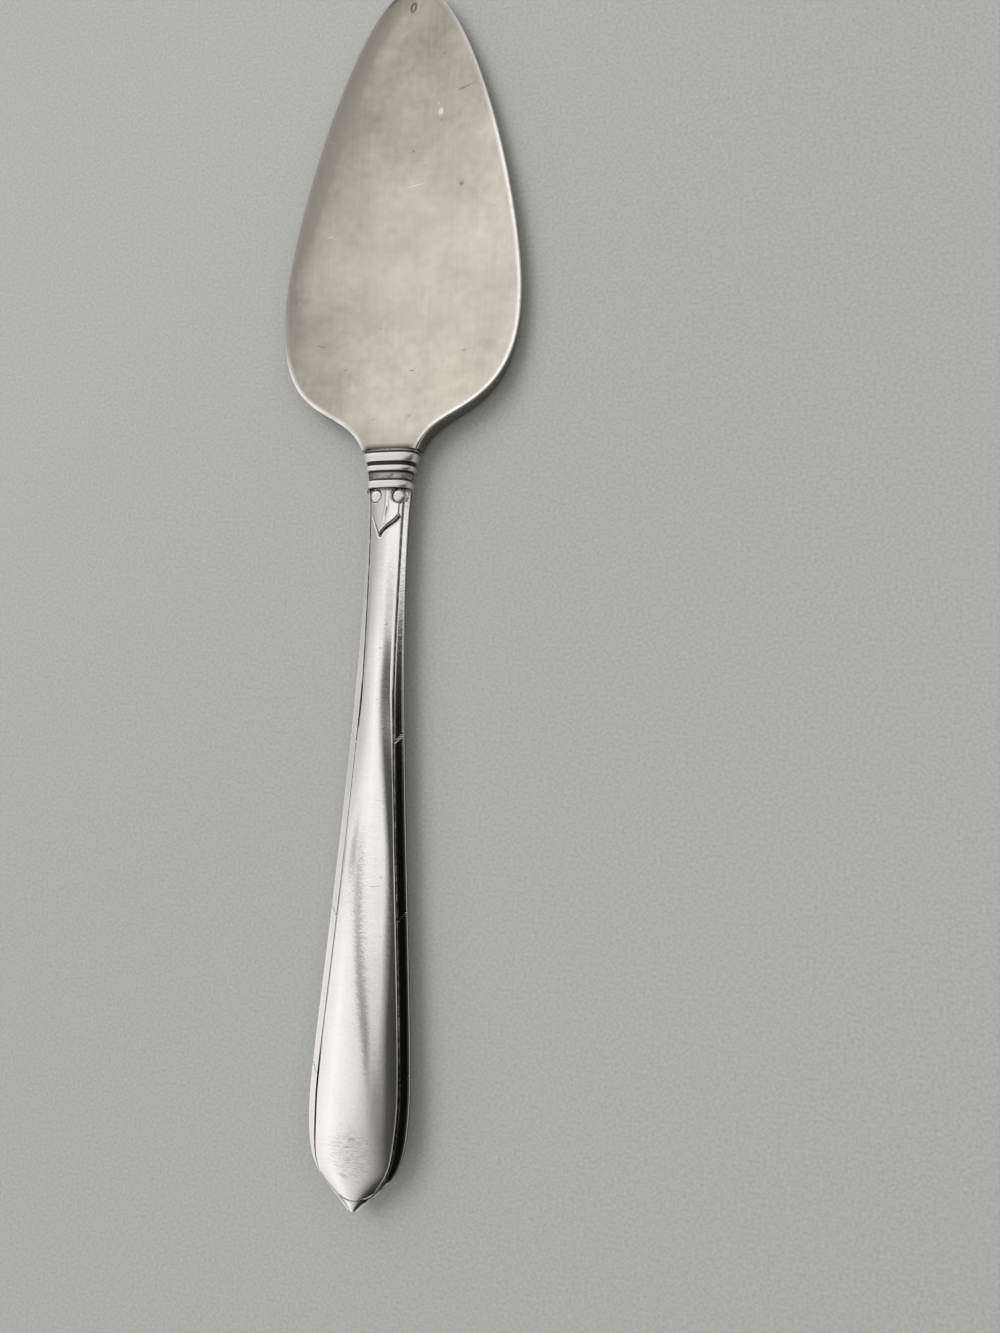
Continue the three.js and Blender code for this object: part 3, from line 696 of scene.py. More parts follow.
def struckChain(stations, rise, shape, domeCount, crownY=None):
    # right half of the outer profile, as x, station and height above the seam, with its recess mask
    half, slope = halfAt(stations, shape)
    length = np.sqrt(1 + slope**2)
    inX, inY = -1 / length, slope / length  # inward across the outline
    share = np.minimum(1, shape["borderShare"] * half / shape["border"])
    taper = np.clip((shape["borderFull"] - stations) / (shape["borderFull"] - shape["borderStart"]), 0, 1)
    share = share * mix(1, shape["leastBorder"], taper**2)
    share = share * mix(1, shape["neckShare"], ramped(stations, shape, "neck"))
    low = np.minimum(1, rise / shape["gripRise"])
    rim, climb = shape["rim"] * low, shape["borderRise"] * share * low
    corner = np.minimum(shape["rimRound"], shape["rimShare"] * rim)
    border = shape["border"] * share
    groove = shape["groove"] * mix(share, shape["neckGroove"], ramped(stations, shape, "groove"))
    ledge = share * mix(shape["thinLedge"], shape["ledge"], ramped(stations, shape, "ledge"))
    shallow = ramped(stations, shape, "shallow") * (1 - ramped(stations, shape, "deep"))
    depths = shape["grooveDepth"] * share * mix(1, shape["shallow"], shallow)
    # the grooves are darkened as patina on both sides; the extra darkness on the right is painted shade
    faint = mix(1, shape["faint"], shallow) * ramped(share, shape, "faint")
    # painted shade near the end, on the right border and on the rim
    lift = shape["neckLift"] * ramped(stations, shape, "lift")
    roundEnd = shape["endDark"] * (1 - ramped(stations, shape, "endDark"))
    atEnd = 1 - smooth(stations, shape["borderFull"] - shape["taperRun"], shape["borderFull"])
    atEnd = shape["taperDark"] * atEnd
    columns = []

    def put(inset, height, recess=0.0):
        columns.append(np.broadcast_arrays(inset, height, recess, stations)[:3])

    put(0.0, 0.0, np.maximum(shape["edgeDark"], atEnd))
    put(0.0, rim - corner, atEnd)
    for turn in np.radians(shape["rimTurns"]):
        put(corner * share * (1 - np.cos(turn)), rim - corner * (1 - np.sin(turn)), atEnd * np.cos(turn))
    for part in shape["borderParts"]:
        bulge = shape["borderBulge"] * 4 * part * (1 - part)
        put(border * mix(shape["borderIn"], 1, part), rim + climb * part + bulge * share, roundEnd)
    lastBorder = len(columns) - 1
    for part, depth, up, mask in shape["grooveParts"]:
        put(border + groove * part, rim + climb + lift * up - depths * depth, mask * faint)
    for part in shape["ledgeParts"]:
        put(border + groove + ledge * part, rim + climb + lift)
    inset, edgeZ, dark = np.stack(columns, -1)
    edgeX, edgeY = half[:, None] + inX[:, None] * inset, stations[:, None] + inY[:, None] * inset
    domeHalf, domeY, domeEdge = edgeX[:, -1:], edgeY[:, -1:], edgeZ[:, -1:]
    part = np.linspace(1, 0, domeCount)[None, 1:]
    fall = part ** shape["fullness"]
    ease = shape["neckEase"] * ramped(stations, shape, "ease")[:, None]
    domeZ = domeEdge + (rise[:, None] - domeEdge) * (1 - fall * (1 + ease * (1 - fall)))
    x = np.concatenate([edgeX, domeHalf * part], 1)
    y = np.concatenate([edgeY, mix(domeY if crownY is None else crownY, domeY, part**2)], 1)
    z = np.concatenate([edgeZ, domeZ], 1)
    recess = np.concatenate([dark, np.zeros(domeZ.shape)], 1)
    info = {"inset": inset, "border": border[:, None], "domeHalf": domeHalf,
            "grooves": slice(lastBorder, lastBorder + len(shape["grooveParts"]) + 2)}
    return x, y, z, recess, info


def addNicks(y, z, recess, info, nicks):
    # short slanting cuts across the border, like the lap of one husk on the next
    count = nicks["columns"]
    across = info["inset"][:, :count] / np.maximum(info["border"], 1e-6)
    onBorder = ramped(across, nicks, "border")
    for station in nicks["stations"]:
        line = y[:, :count] - station + nicks["slant"] * (across - 0.5)
        cut = bell(line, nicks["width"])
        lap = np.where(line > 0, np.exp(-line / nicks["lapRun"]), 0) * smooth(line, 0, nicks["lapStart"])
        z[:, :count] += onBorder * (nicks["lap"] * lap - nicks["depth"] * cut)
        recess[:, :count] = np.maximum(recess[:, :count], onBorder * cut)


def addLeaf(x, y, z, recess, info, leaf):
    # a pointed husk leaf that springs from the collar, leans a little and fills the panel
    height = leaf["shoulder"] - leaf["tip"]
    part = np.clip((y - leaf["tip"]) / height, 0, 1)
    reach = info["domeHalf"] - leaf["gap"]
    rightEdge = mix(leaf["lean"], reach, part * part * (3 - 2 * part))
    leftEdge = mix(leaf["lean"], -reach, part)
    rightSlope = (reach - leaf["lean"]) * 6 * part * (1 - part) / height
    leftSlope = (reach + leaf["lean"]) / height
    fromRight, fromLeft = (rightEdge - x) / np.hypot(1, rightSlope), (x - leftEdge) / np.hypot(1, leftSlope)
    inside = np.minimum(fromRight, fromLeft)
    width = np.where(fromRight < fromLeft, leaf["cutWidth"], leaf["thinCut"])
    there = ramped(y, leaf, "tip") * (y < leaf["base"])
    raised = smooth(inside, 0, leaf["edge"])
    # above its shoulders the leaf runs into the border grooves
    cut = bell(inside, width) * (1 - ramped(part, leaf, "join"))
    away = x - mix(leaf["lean"], leaf["ribLean"], smooth(y - leaf["tip"], 0, leaf["ribRun"]))
    onRib = ramped(y, leaf, "rib")
    rib = bell(away, leaf["ribCrest"]) * onRib
    ribCut = bell(np.abs(away) - leaf["ribHalf"], leaf["ribCutWidth"]) * onRib
    z += there * (leaf["relief"] * raised - leaf["cut"] * cut + leaf["rib"] * rib - leaf["ribCut"] * ribCut)
    ribDark = np.where(away < 0, leaf["ribDarkLeft"], leaf["ribDarkRight"]) * ribCut
    recess[:] = np.maximum(recess, there * np.maximum(cut, ribDark))


def beadSeat(bead, shape):
    # height and slope of the bare dome where a bead sits
    station = np.array([bead["station"]])
    x, y, z = struckChain(station, crownAt(station, shape), shape, handleRows["top"]["dome"])[:3]
    order = np.argsort(x[0])
    height, beyond = (float(np.interp(bead["seat"] + step, x[0][order], z[0][order]))
                      for step in (0.0, bead["leanRun"]))
    return height, (beyond - height) / bead["leanRun"]


def addBeadSeats(x, y, z, recess, bead, leaf, shape):
    height, fall = beadSeat(bead, shape)
    for side in (-1, 1):
        outward = side * (x - bead["shift"]) - bead["spacing"] / 2
        reach = np.hypot(outward, y - bead["station"]) - bead["radius"]
        seat = height + fall * bead["lean"] * outward
        flat = 1 - ramped(reach, bead, "seat")
        moat = bell(np.maximum(reach, 0), bead["moat"])
        z[:] = mix(z, seat, flat) - bead["moatDepth"] * moat
        recess[:] = np.maximum(mix(recess, 0, flat), bead["moatDark"] * moat)
    recess[:] = np.maximum(recess, leaf["baseDark"] * ramped(y, leaf, "base"))


def addEndStep(x, y, z, recess, end):
    # the dome stops at a small bowed step, and a slim tip runs on below it
    bow = end["station"] + end["bow"] * (x / end["half"]) ** 2
    beyond = 1 - smooth(y - bow, -end["step"] / 2, end["step"] / 2)
    line = bell(y - bow, end["step"]) * (1 - smooth(np.abs(x), end["half"] - end["fade"], end["half"]))
    lowered = np.maximum(z - end["drop"] * np.maximum(beyond, line), np.minimum(z, end["least"]))
    z[:] = np.where(y < end["reach"], lowered, z)
    recess[:] = np.maximum(recess, end["dark"] * line)


def hollowChain(stations, rise, shape, side):
    half = halfAt(stations, shape)[0]
    into = np.clip((stations - shape["cavityStation"]) / shape["cavityRun"], 0, 1)
    inner = np.maximum(half - shape["wall"], half * shape["cavityLeast"])[:, None]
    depth = ((rise - shape["wall"]) * np.sqrt(1 - (1 - into) ** 2))[:, None]
    part = np.linspace(1, -1, shape["cavityCount"])[None]
    height = depth * (1 - np.abs(part) ** shape["cavityFullness"])
    base = seamAt(stations, shape)[:, None] + side * shape["seamGap"] / 2
    return chainOf(inner * part, stations[:, None], base + side * height)


def handleShell(name, side, shape, rows):
    top = side > 0
    steps = rows["top" if top else "bottom"]
    stations = handleStations(rows, steps, nickShape["stations"] if top else ())
    rise = (crownAt if top else bellyAt)(stations, shape)
    right = struckChain(stations, rise, shape, steps["dome"])
    left = struckChain(stations, rise, {**shape, **leftHandle}, steps["dome"], right[1][:, -1:])
    if top:
        for half in (right, left):
            addNicks(*half[1:], nickShape)
    x, y, z, recess = (np.concatenate([ours, sign * theirs[:, -2::-1]], 1)
                       for ours, theirs, sign in zip(right, left[:4], (-1, 1, 1, 1)))
    if top:
        info = right[4]
        # the right groove is painted darker below the neck, as shade
        grooveShade = shape["rightGrooveShade"] * (1 - ramped(stations, shape, "ledge"))[:, None]
        recess[:, info["grooves"]] = np.maximum(recess[:, info["grooves"]], grooveShade)
        addLeaf(x, y, z, recess, info, leafShape)
        addBeadSeats(x, y, z, recess, beadShape, leafShape, shape)
        addEndStep(x, y, z, recess, endShape)
    base = seamAt(y, shape) + side * shape["seamGap"] / 2
    outer = chainOf(x, y, base + side * z)
    inner = hollowChain(stations, rise, shape, side)
    # the stepped spigot that goes into the collar
    middle = shape["seamHeight"] + side * shape["seamGap"] / 2
    for station in (handleLength, handleLength + shape["spigotLength"]):
        ring, bore = (ovalChain(shape["spigotHalf"] - wall, side * (shape["spigotRise"] - wall), chain.shape[1],
                                shape["spigotFullness"], station, middle)
                      for wall, chain in ((0.0, outer), (shape["spigotWall"], inner)))
        outer, inner = np.concatenate([outer, ring[None]]), np.concatenate([inner, bore[None]])
    recess = np.concatenate([recess, np.zeros((2, recess.shape[1]))])
    return loft(name, outer, inner, bright, {"recess": (recess, np.zeros(inner.shape[:2]))})


topShell = handleShell("handleTopShell", 1, handleShape, handleRows)
bottomShell = handleShell("handleBottomShell", -1, handleShape, handleRows)
for shell, node in ((topShell, "handle_top_shell"), (bottomShell, "handle_bottom_shell")):
    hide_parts(node)
    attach(shell, "root")
print("handle shells", len(topShell.data.polygons), len(bottomShell.data.polygons))


# the blade with its shank, and the tang that runs on into the handle
bladeShape = {
    "heelHalf": 3.9, "heelPull": 6.2, "heelSlope": 0.35, "bellyFromHeel": 19.6, "shoulderPull": 16.5,
    "flankPull": 9.7, "tipRound": 2.0, "tipHalf": 4.0, "tipPull": 7.3, "tipSlope": 0.88, "tipFlat": 0.3,
    "curveSteps": 2000, "tipSteps": 800,
    "thickness": 1.25, "edge": 0.7, "heelThickness": 2.8, "heelRun": 17.0, "squareRun": 5.0, "tipSquare": 0.6,
    "heelRound": 0.3, "roundRun": 3.0, "roundPower": 6, "dish": 0.75, "tipDish": 0.35,
    "restHalf": 5.0, "restShare": 0.5, "upturn": 0.24, "upturnWidth": 2.8, "upturnFrom": 1.0, "upturnFull": 5.0,
    "topRound": 0.2, "underRound": 0.16,
    "tangLength": 45.0, "tangRoot": 1.2, "tangEnd": 0.85, "tangRise": 0.35, "tangDrop": 0.2,
    # steps along the outline, then points from the edge to the middle
    "heelSpan": 1.2, "heelStep": 0.12, "flankStep": 0.34, "tipSpan": 6.0, "tipCount": 60,
    "roundCount": 6, "insets": (0.3, 0.5, 0.7, 0.95, 1.2, 1.5, 1.9, 2.3), "insetShare": 0.7, "acrossCount": 40,
}
# rubbed bright along the right rim and the shank, real wear with a painted highlight on it; painted shade along
# the left rim towards the tip, in the heel crease and on the side walls
bladeWearAndShade = {
    # how much is rubbed near the heel and near the tip, and how far from the heel that changes
    "right": (1.0, 0.3), "rightFrom": 38, "rightFull": 50, "left": (0.9, 0.1), "leftFrom": 9, "leftFull": 16,
    "rimFrom": 0.3, "rimFull": 0.65, "shadeFrom": 0.1, "shadeFull": 3.4,  # from the outline inwards
    # dull: how far from the heel the painted shade along the left rim grows; heel and corner: painted shade in
    # the heel crease; wall: painted shade on the side walls
    "dullFrom": 14, "dullFull": 34, "heelFrom": 0.0, "heelFull": 0.8, "wallFrom": 8, "wallFull": 30, "wall": 0.8,
    "cornerFrom": 2.7, "cornerFull": 3.75,  # from the middle outwards
}


def bladeCurve(shape):
    heel, belly = (shape["heelHalf"], heelStation), (bladeHalf, heelStation + shape["bellyFromHeel"])
    start = (shape["tipHalf"], overallLength - shape["tipRound"])
    shoulder = bezier([heel, (heel[0] + shape["heelPull"] * shape["heelSlope"], heel[1] + shape["heelPull"]),
                       (belly[0], belly[1] - shape["shoulderPull"]), belly], shape["curveSteps"])
    flank = bezier([belly, (belly[0], belly[1] + shape["flankPull"]),
                    (start[0] + shape["tipPull"] * shape["tipSlope"], start[1] - shape["tipPull"]), start],
                   shape["curveSteps"])
    tip = bezier([start, (start[0] - shape["tipRound"] * shape["tipSlope"], overallLength),
                  (shape["tipFlat"], overallLength)], shape["tipSteps"])
    return joined([shoulder, flank, tip])


def bladeHeights(x, station, shape):
    curve = bladeCurve(shape)
    half = np.interp(station, curve[:, 1], curve[:, 0])
    down = smooth(station, heelStation, heelStation + shape["heelRun"])
    toTip = smooth(station, heelStation + shape["bellyFromHeel"], overallLength)
    top = mix(handleShape["seamHeight"] + shape["heelThickness"] / 2, shape["thickness"], down)
    bottom = mix(handleShape["seamHeight"] - shape["heelThickness"] / 2, 0, down)
    dish = mix(shape["dish"], shape["tipDish"], toTip) * down
    edge = mix(shape["heelThickness"], shape["edge"], down)
    flat = np.minimum(shape["restHalf"], half * shape["restShare"])
    out = np.clip((np.abs(x) - flat) / np.maximum(half - flat, 1e-6), 0, 1) ** 2
    atHeel = 1 - smooth(station, heelStation, heelStation + shape["roundRun"])
    over = shape["heelRound"] * atHeel * (np.abs(x) / np.maximum(half, 1e-6)) ** shape["roundPower"]
    return mix(top, top + dish, out) - over, mix(bottom, top + dish - edge, out)


def awayFrom(curve, x, y):
    # distance of each point from the outline
    outline = KDTree(len(curve))
    for index, (curveX, curveY) in enumerate(curve):
        outline.insert((curveX, curveY, 0), index)
    outline.balance()
    return np.reshape([outline.find((*spot, 0))[2] for spot in zip(x.ravel(), y.ravel())], x.shape)


def makeBlade(shape, worn):
    curve = bladeCurve(shape)
    run = np.concatenate([[0], np.cumsum(np.hypot(*np.diff(curve, axis=0).T))])
    tipStart = run[-1] - shape["tipSpan"]
    marks = np.concatenate([np.arange(0, shape["heelSpan"], shape["heelStep"]),
                            np.arange(shape["heelSpan"], tipStart, shape["flankStep"]),
                            np.linspace(tipStart, run[-1], shape["tipCount"])])
    half, station = (np.interp(marks, run, curve[:, axis])[:, None] for axis in (0, 1))
    alongX, alongY = (np.interp(marks, run, np.gradient(curve[:, axis], run))[:, None] for axis in (0, 1))
    inX, inY = -alongY, alongX  # inward across the outline
    inY = np.where(station > overallLength - shape["tipSquare"], np.minimum(inY, 0), inY)
    inY = inY * smooth(station, heelStation, heelStation + shape["squareRun"])
    turns, fades = np.radians(np.linspace(0, 90, shape["roundCount"])), np.array(shape["insets"])
    room = np.minimum(1, shape["insetShare"] * half / fades[-1])  # the rows shorten towards the tip
    part = np.linspace(1, 0, shape["acrossCount"])[None, 1:]

    def faceHalf(corner, side, parts):
        # the right half of one face: its rounded edge, the rows inside it, then the way to the middle
        inset = np.concatenate([corner * (1 - np.cos(turns)), fades])[None]
        fall = np.concatenate([corner * (1 - np.sin(turns)), 0 * fades])[None]
        x, y = half + inX * inset * room, station + inY * inset * room
        innerX = x[:, -1:] * parts
        innerY = np.broadcast_to(y[:, -1:], innerX.shape)
        allX, allY = np.concatenate([x, innerX], 1), np.concatenate([y, innerY], 1)
        top, bottom = bladeHeights(allX, np.minimum(allY, overallLength), shape)
        z = top if side > 0 else bottom
        z[:, :x.shape[1]] -= side * fall
        return allX, allY, z

    topX, topY, topZ = faceHalf(shape["topRound"], 1, part)
    away = awayFrom(curve, topX, topY)
    turned = shape["upturn"] * np.clip(1 - away / shape["upturnWidth"], 0, 1) ** 2
    topZ += turned * ramped(topY - heelStation, shape, "upturn")
    upper, lower = (mirrored(chainOf(*face), np.array([-1, 1, 1]))
                    for face in ((topX, topY, topZ), faceHalf(shape["underRound"], -1, part[:, 1::2])))
    away, fromHeel, right = mirrored(away, 1), upper[..., 1] - heelStation, upper[..., 0] > 0
    # the rims are rubbed bright, real wear made stronger on the right as a painted highlight
    rimWearAndGleam = np.where(right, mix(*worn["right"], ramped(fromHeel, worn, "right")),
                      mix(*worn["left"], ramped(fromHeel, worn, "left")))
    wearAndGleam = rimWearAndGleam * (1 - ramped(away, worn, "rim"))
    # painted shade along the left rim towards the tip
    shade = np.where(right, 0, (1 - ramped(away, worn, "shade")) * ramped(fromHeel, worn, "dull"))
    # tang rows, as flat loops with the same number of points
    middle = handleShape["seamHeight"] - shape["tangDrop"]
    tangUpper, tangLower = [], []
    for at, width in ((heelStation - shape["tangLength"], shape["tangEnd"]), (heelStation, shape["tangRoot"])):
        for rows, face, rise in ((tangUpper, upper, shape["tangRise"]), (tangLower, lower, -shape["tangRise"])):
            rows.append(chainOf(np.linspace(width, -width, face.shape[1]), at, middle + rise))
    upper, lower = np.concatenate([tangUpper, upper]), np.concatenate([tangLower, lower])
    wearAndGleam, shade = (np.concatenate([np.zeros((2, mask.shape[1])), mask]) for mask in (wearAndGleam, shade))
    # painted shade in the crease at the heel, fading towards the corners
    heel = 1 - ramped(upper[..., 1] - heelStation, worn, "heel")
    heel = heel * (1 - ramped(np.abs(upper[..., 0]), worn, "corner"))
    # the side walls are painted darker near the shank, as shade
    wall = worn["wall"] * (1 - ramped(lower[..., 1] - heelStation, worn, "wall"))
    wall[:, shape["roundCount"]:-shape["roundCount"]] = 0
    heel[:, [0, -1]] = np.maximum(heel[:, [0, -1]], wall[:, [0, -1]])
    masks = {"wearAndGleam": (wearAndGleam, 0 * wall), "shade": (shade, 0 * wall), "recess": (heel, wall)}
    return loft("bladeAndTang", upper, lower, satin, masks)


blade = makeBlade(bladeShape, bladeWearAndShade)
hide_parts("blade")
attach(blade, "root")
print("blade", len(blade.data.polygons))


# the collar: a flared sleeve under three raised bands
collarShape = {
    "backHalf": 3.05, "frontHalf": 3.95, "flare": 1.7, "rise": 1.9, "fullness": 2.6, "sink": 0.3, "short": 0.06,
    "socketDepth": 3.2, "socketHalf": 2.6, "socketRise": 1.45, "slotHalf": 1.5, "slotRise": 0.65, "around": 144,
    "rows": 40, "darkFrom": 0.2, "darkFull": 0.42,
}
bandShape = {
    "spans": ((0.10, 1.05), (2.32, 3.02), (3.52, 4.66)),  # from the handle side to the blade side
    "thickness": 0.5, "round": 0.20, "roundSteps": 4, "fullness": 3.2, "steps": 160,
}


def flareAt(along, shape):
    share = (np.asarray(along) / (heelStation - handleLength)) ** shape["flare"]
    return mix(shape["backHalf"], shape["frontHalf"], share)


def collarSleeve(shape, band):
    angle = np.linspace(0, 2 * math.pi, shape["around"], endpoint=False)
    power = 2 / shape["fullness"]
    across, up = (np.sign(f(angle)) * np.abs(f(angle)) ** power for f in (np.cos, np.sin))
    square = 1 / np.maximum(np.abs(np.cos(angle)), np.abs(np.sin(angle)))
    front = heelStation - handleLength - shape["short"]
    seam = handleShape["seamHeight"]
    rows = []
    for along in np.linspace(0, front, shape["rows"]):
        half, rise = flareAt(along, shape) - shape["sink"], shape["rise"] - shape["sink"]
        rows.append(chainOf(half * across, handleLength + along, seam + rise * up))
    for along in (front, shape["socketDepth"]):  # the slot for the tang
        rows.append(chainOf(shape["slotHalf"] * np.cos(angle) * square, handleLength + along,
                            seam - bladeShape["tangDrop"] + shape["slotRise"] * np.sin(angle) * square))
    for along in (shape["socketDepth"], 0.0):  # the socket for the handle's spigot
        rows.append(chainOf(shape["socketHalf"] * across, handleLength + along, seam + shape["socketRise"] * up))
    points = np.stack(rows)
    faces = ringFaces(points.shape[0], points.shape[1], closed=True)
    # painted shade along the edges of the bands
    edges = np.array(band["spans"]).ravel()
    near = np.abs(points[..., 1:2] - handleLength - edges).min(-1)
    return makePiece("collarSleeve", points, faces, collar, {"recess": 1 - ramped(near, shape, "dark")})


sleeve = collarSleeve(collarShape, bandShape)
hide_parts("neck_ferrule")
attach(sleeve, "root")


# Geometry Nodes trees for the bands and the beads

def partTree(name, inputs):
    return newGroup(name, "GeometryNodeTree", inputs + [("Material", "Material", None)], "Geometry", "Geometry")


def closeTree(tree, shape, material, made):
    realized = addNode(tree, "GeometryNodeRealizeInstances", {0: shape})
    smoothed = addNode(tree, "GeometryNodeSetShadeSmooth", {"Geometry": realized.outputs[0]})
    finish = addNode(tree, "GeometryNodeSetMaterial", {"Geometry": smoothed.outputs[0], "Material": material})
    feed(tree, made["Geometry"], finish.outputs[0])


def grown(name, treeParts, valueSets):
    # runs the tree once for each set of values and keeps the results as one plain mesh
    tree, identifiers = treeParts
    meshes = []
    for values in valueSets:
        holder = bpy.data.objects.new(name + "Maker", bpy.data.meshes.new(name + "Maker"))
        scene.collection.objects.link(holder)
        modifier = holder.modifiers.new("shape", "NODES")
        modifier.node_group = tree
        for label, value in values.items():
            modifier[identifiers[label]] = value
        holder.update_tag()
        graph = bpy.context.evaluated_depsgraph_get()
        meshes.append(bpy.data.meshes.new_from_object(holder.evaluated_get(graph)))
        holder.modifiers.remove(modifier)
        bpy.data.objects.remove(holder)
    whole = bmesh.new()
    for mesh in meshes:
        whole.from_mesh(mesh)
    bmesh.ops.remove_doubles(whole, verts=whole.verts, dist=1e-8)
    bmesh.ops.recalc_face_normals(whole, faces=whole.faces)
    mesh = meshes[0]
    whole.to_mesh(mesh)
    whole.free()
    mesh.name = name
    piece = bpy.data.objects.new(name, mesh)
    scene.collection.objects.link(piece)
    return piece


def bandTree():
    # a flat strip with rounded corners, swept round the collar's oval and flared with it
    tree, given, made, identifiers = partTree("bandRing", [
        ("Half Width", "Float", 0.003), ("Half Height", "Float", 0.0022), ("Fullness", "Float", 2.6),
        ("Band Length", "Float", 0.001), ("Band Thickness", "Float", 0.0005), ("Corner", "Float", 0.0001),
        ("Corner Steps", "Int", 4), ("Flare", "Float", 0.0), ("Station", "Float", 0.0), ("Lift", "Float", 0.0),
        ("Steps", "Int", 160)])
    circle = addNode(tree, "GeometryNodeCurvePrimitiveCircle", {"Resolution": given["Steps"], "Radius": 1.0})
    spot = axesOf(tree, addNode(tree, "GeometryNodeInputPosition").outputs[0])
    power = sums(tree, "DIVIDE", 2.0, given["Fullness"])
    bent = []
    for axis, size in (("X", "Half Width"), ("Y", "Half Height")):
        full = sums(tree, "POWER", sums(tree, "ABSOLUTE", spot[axis]), power)
        inset = sums(tree, "MULTIPLY_ADD", given["Band Thickness"], -0.5, given[size])
        bent.append(times(tree, times(tree, full, sums(tree, "SIGN", spot[axis])), inset))
    oval = addNode(tree, "GeometryNodeSetPosition", {
        "Geometry": circle.outputs["Curve"], "Position": combined(tree, *bent)})
    upright = addNode(tree, "GeometryNodeSetCurveNormal", {"Curve": oval.outputs[0]}, mode="Z_UP")
    strip = addNode(tree, "GeometryNodeCurvePrimitiveQuadrilateral", {
        "Width": given["Band Thickness"], "Height": given["Band Length"]})
    corners = addNode(tree, "GeometryNodeFilletCurve", {
        "Curve": strip.outputs[0], "Count": given["Corner Steps"], "Radius": given["Corner"]}, mode="POLY")
    sweep = addNode(tree, "GeometryNodeCurveToMesh", {
        "Curve": upright.outputs[0], "Profile Curve": corners.outputs[0]})
    # the sweep stands up along Z, so Z becomes the way along the server
    wider = sums(tree, "MULTIPLY_ADD", spot["Z"], given["Flare"], 1.0)
    laid = combined(tree, times(tree, spot["X"], wider), sums(tree, "ADD", spot["Z"], given["Station"]),
                    sums(tree, "ADD", spot["Y"], given["Lift"]))
    flared = addNode(tree, "GeometryNodeSetPosition", {"Geometry": sweep.outputs[0], "Position": laid})
    closeTree(tree, flared.outputs[0], given["Material"], made)
    return tree, identifiers


def bandValues(span, shape, band):
    back, front = flareAt(span, shape)
    length, middle = span[1] - span[0], sum(span) / 2
    half = float(flareAt(middle, shape))
    return {
        "Half Width": half * toMetres, "Half Height": shape["rise"] * toMetres, "Fullness": band["fullness"],
        "Band Length": length * toMetres, "Band Thickness": band["thickness"] * toMetres,
        "Corner": band["round"] * toMetres, "Corner Steps": band["roundSteps"],
        "Flare": float(front - back) / (length * half) / toMetres,
        "Station": (handleEnd + handleLength + middle) * toMetres,
        "Lift": handleShape["seamHeight"] * toMetres, "Steps": band["steps"], "Material": softBright,
    }


def beadTree():
    # two low studs set side by side across the panel
    tree, given, made, identifiers = partTree("beadPair", [
        ("Spacing", "Float", 0.003), ("Shift", "Float", 0.0), ("Station", "Float", 0.0), ("Lift", "Float", 0.0),
        ("Radius", "Float", 0.0005), ("Height", "Float", 0.0003), ("Flatness", "Float", 0.5),
        ("Segments", "Int", 32), ("Rings", "Int", 20), ("Tilt", "Float", 0.0)])
    ends = [combined(tree, sums(tree, "MULTIPLY_ADD", given["Spacing"], side, given["Shift"]), given["Station"],
                     given["Lift"]) for side in (-0.5, 0.5)]
    line = addNode(tree, "GeometryNodeMeshLine", {"Count": 2, "Start Location": ends[0], "Offset": ends[1]},
                   mode="END_POINTS")
    ball = addNode(tree, "GeometryNodeMeshUVSphere", {
        "Segments": given["Segments"], "Rings": given["Rings"], "Radius": 1.0})
    spot = axesOf(tree, addNode(tree, "GeometryNodeInputPosition").outputs[0])
    flatter = sums(tree, "POWER", sums(tree, "ABSOLUTE", spot["Z"]), given["Flatness"])
    crown = combined(tree, spot["X"], spot["Y"], times(tree, flatter, sums(tree, "SIGN", spot["Z"])))
    pressed = addNode(tree, "GeometryNodeSetPosition", {"Geometry": ball.outputs[0], "Position": crown})
    size = combined(tree, given["Radius"], given["Radius"], given["Height"])
    stud = addNode(tree, "GeometryNodeTransform", {"Geometry": pressed.outputs[0], "Scale": size})
    # each stud leans with the dome under it
    lean = combined(tree, y=times(tree, sums(tree, "SIGN", spot["X"]), given["Tilt"]))
    studs = addNode(tree, "GeometryNodeInstanceOnPoints", {
        "Points": line.outputs[0], "Instance": stud.outputs[0], "Rotation": lean})
    closeTree(tree, studs.outputs[0], given["Material"], made)
    return tree, identifiers


def beadValues(bead, shape):
    height, fall = beadSeat(bead, shape)
    base = seamAt(bead["station"], shape) + shape["seamGap"] / 2
    return {
        "Spacing": bead["spacing"] * toMetres, "Shift": bead["shift"] * toMetres,
        "Station": (handleEnd + bead["station"]) * toMetres,
        "Lift": float(base + height + bead["lift"]) * toMetres,
        "Radius": bead["radius"] * toMetres, "Height": bead["height"] * toMetres, "Flatness": bead["flatness"],
        "Segments": bead["segments"], "Rings": bead["rings"],
        "Tilt": -math.atan(fall * bead["lean"]), "Material": softBright,
    }


bands = grown("collarBands", bandTree(),
              [bandValues(span, collarShape, bandShape) for span in bandShape["spans"]])
beads = grown("neckBeads", beadTree(), [beadValues(beadShape, handleShape)])
for piece in (bands, beads):
    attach(piece, "root")
print("bands and beads", len(bands.data.polygons), len(beads.data.polygons))
print("collar sleeve", len(sleeve.data.polygons))

# seam and filler keep their solids under their own finishes
for node, finish in (("seam_solder_left", solder), ("seam_solder_right", solder), ("handle_cement", cement)):
    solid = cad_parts[node]
    solid.data.materials.clear()
    solid.data.materials.append(finish)


# floor, light and camera
floorLook = {"size": 4.0, "colour": rgb(0.42, 0.425, 0.40), "shade": 0.82, "roughness": 0.85, "gloss": 0.2,
             "weave": {"Scale": 2.6, "Detail": 2.0}}


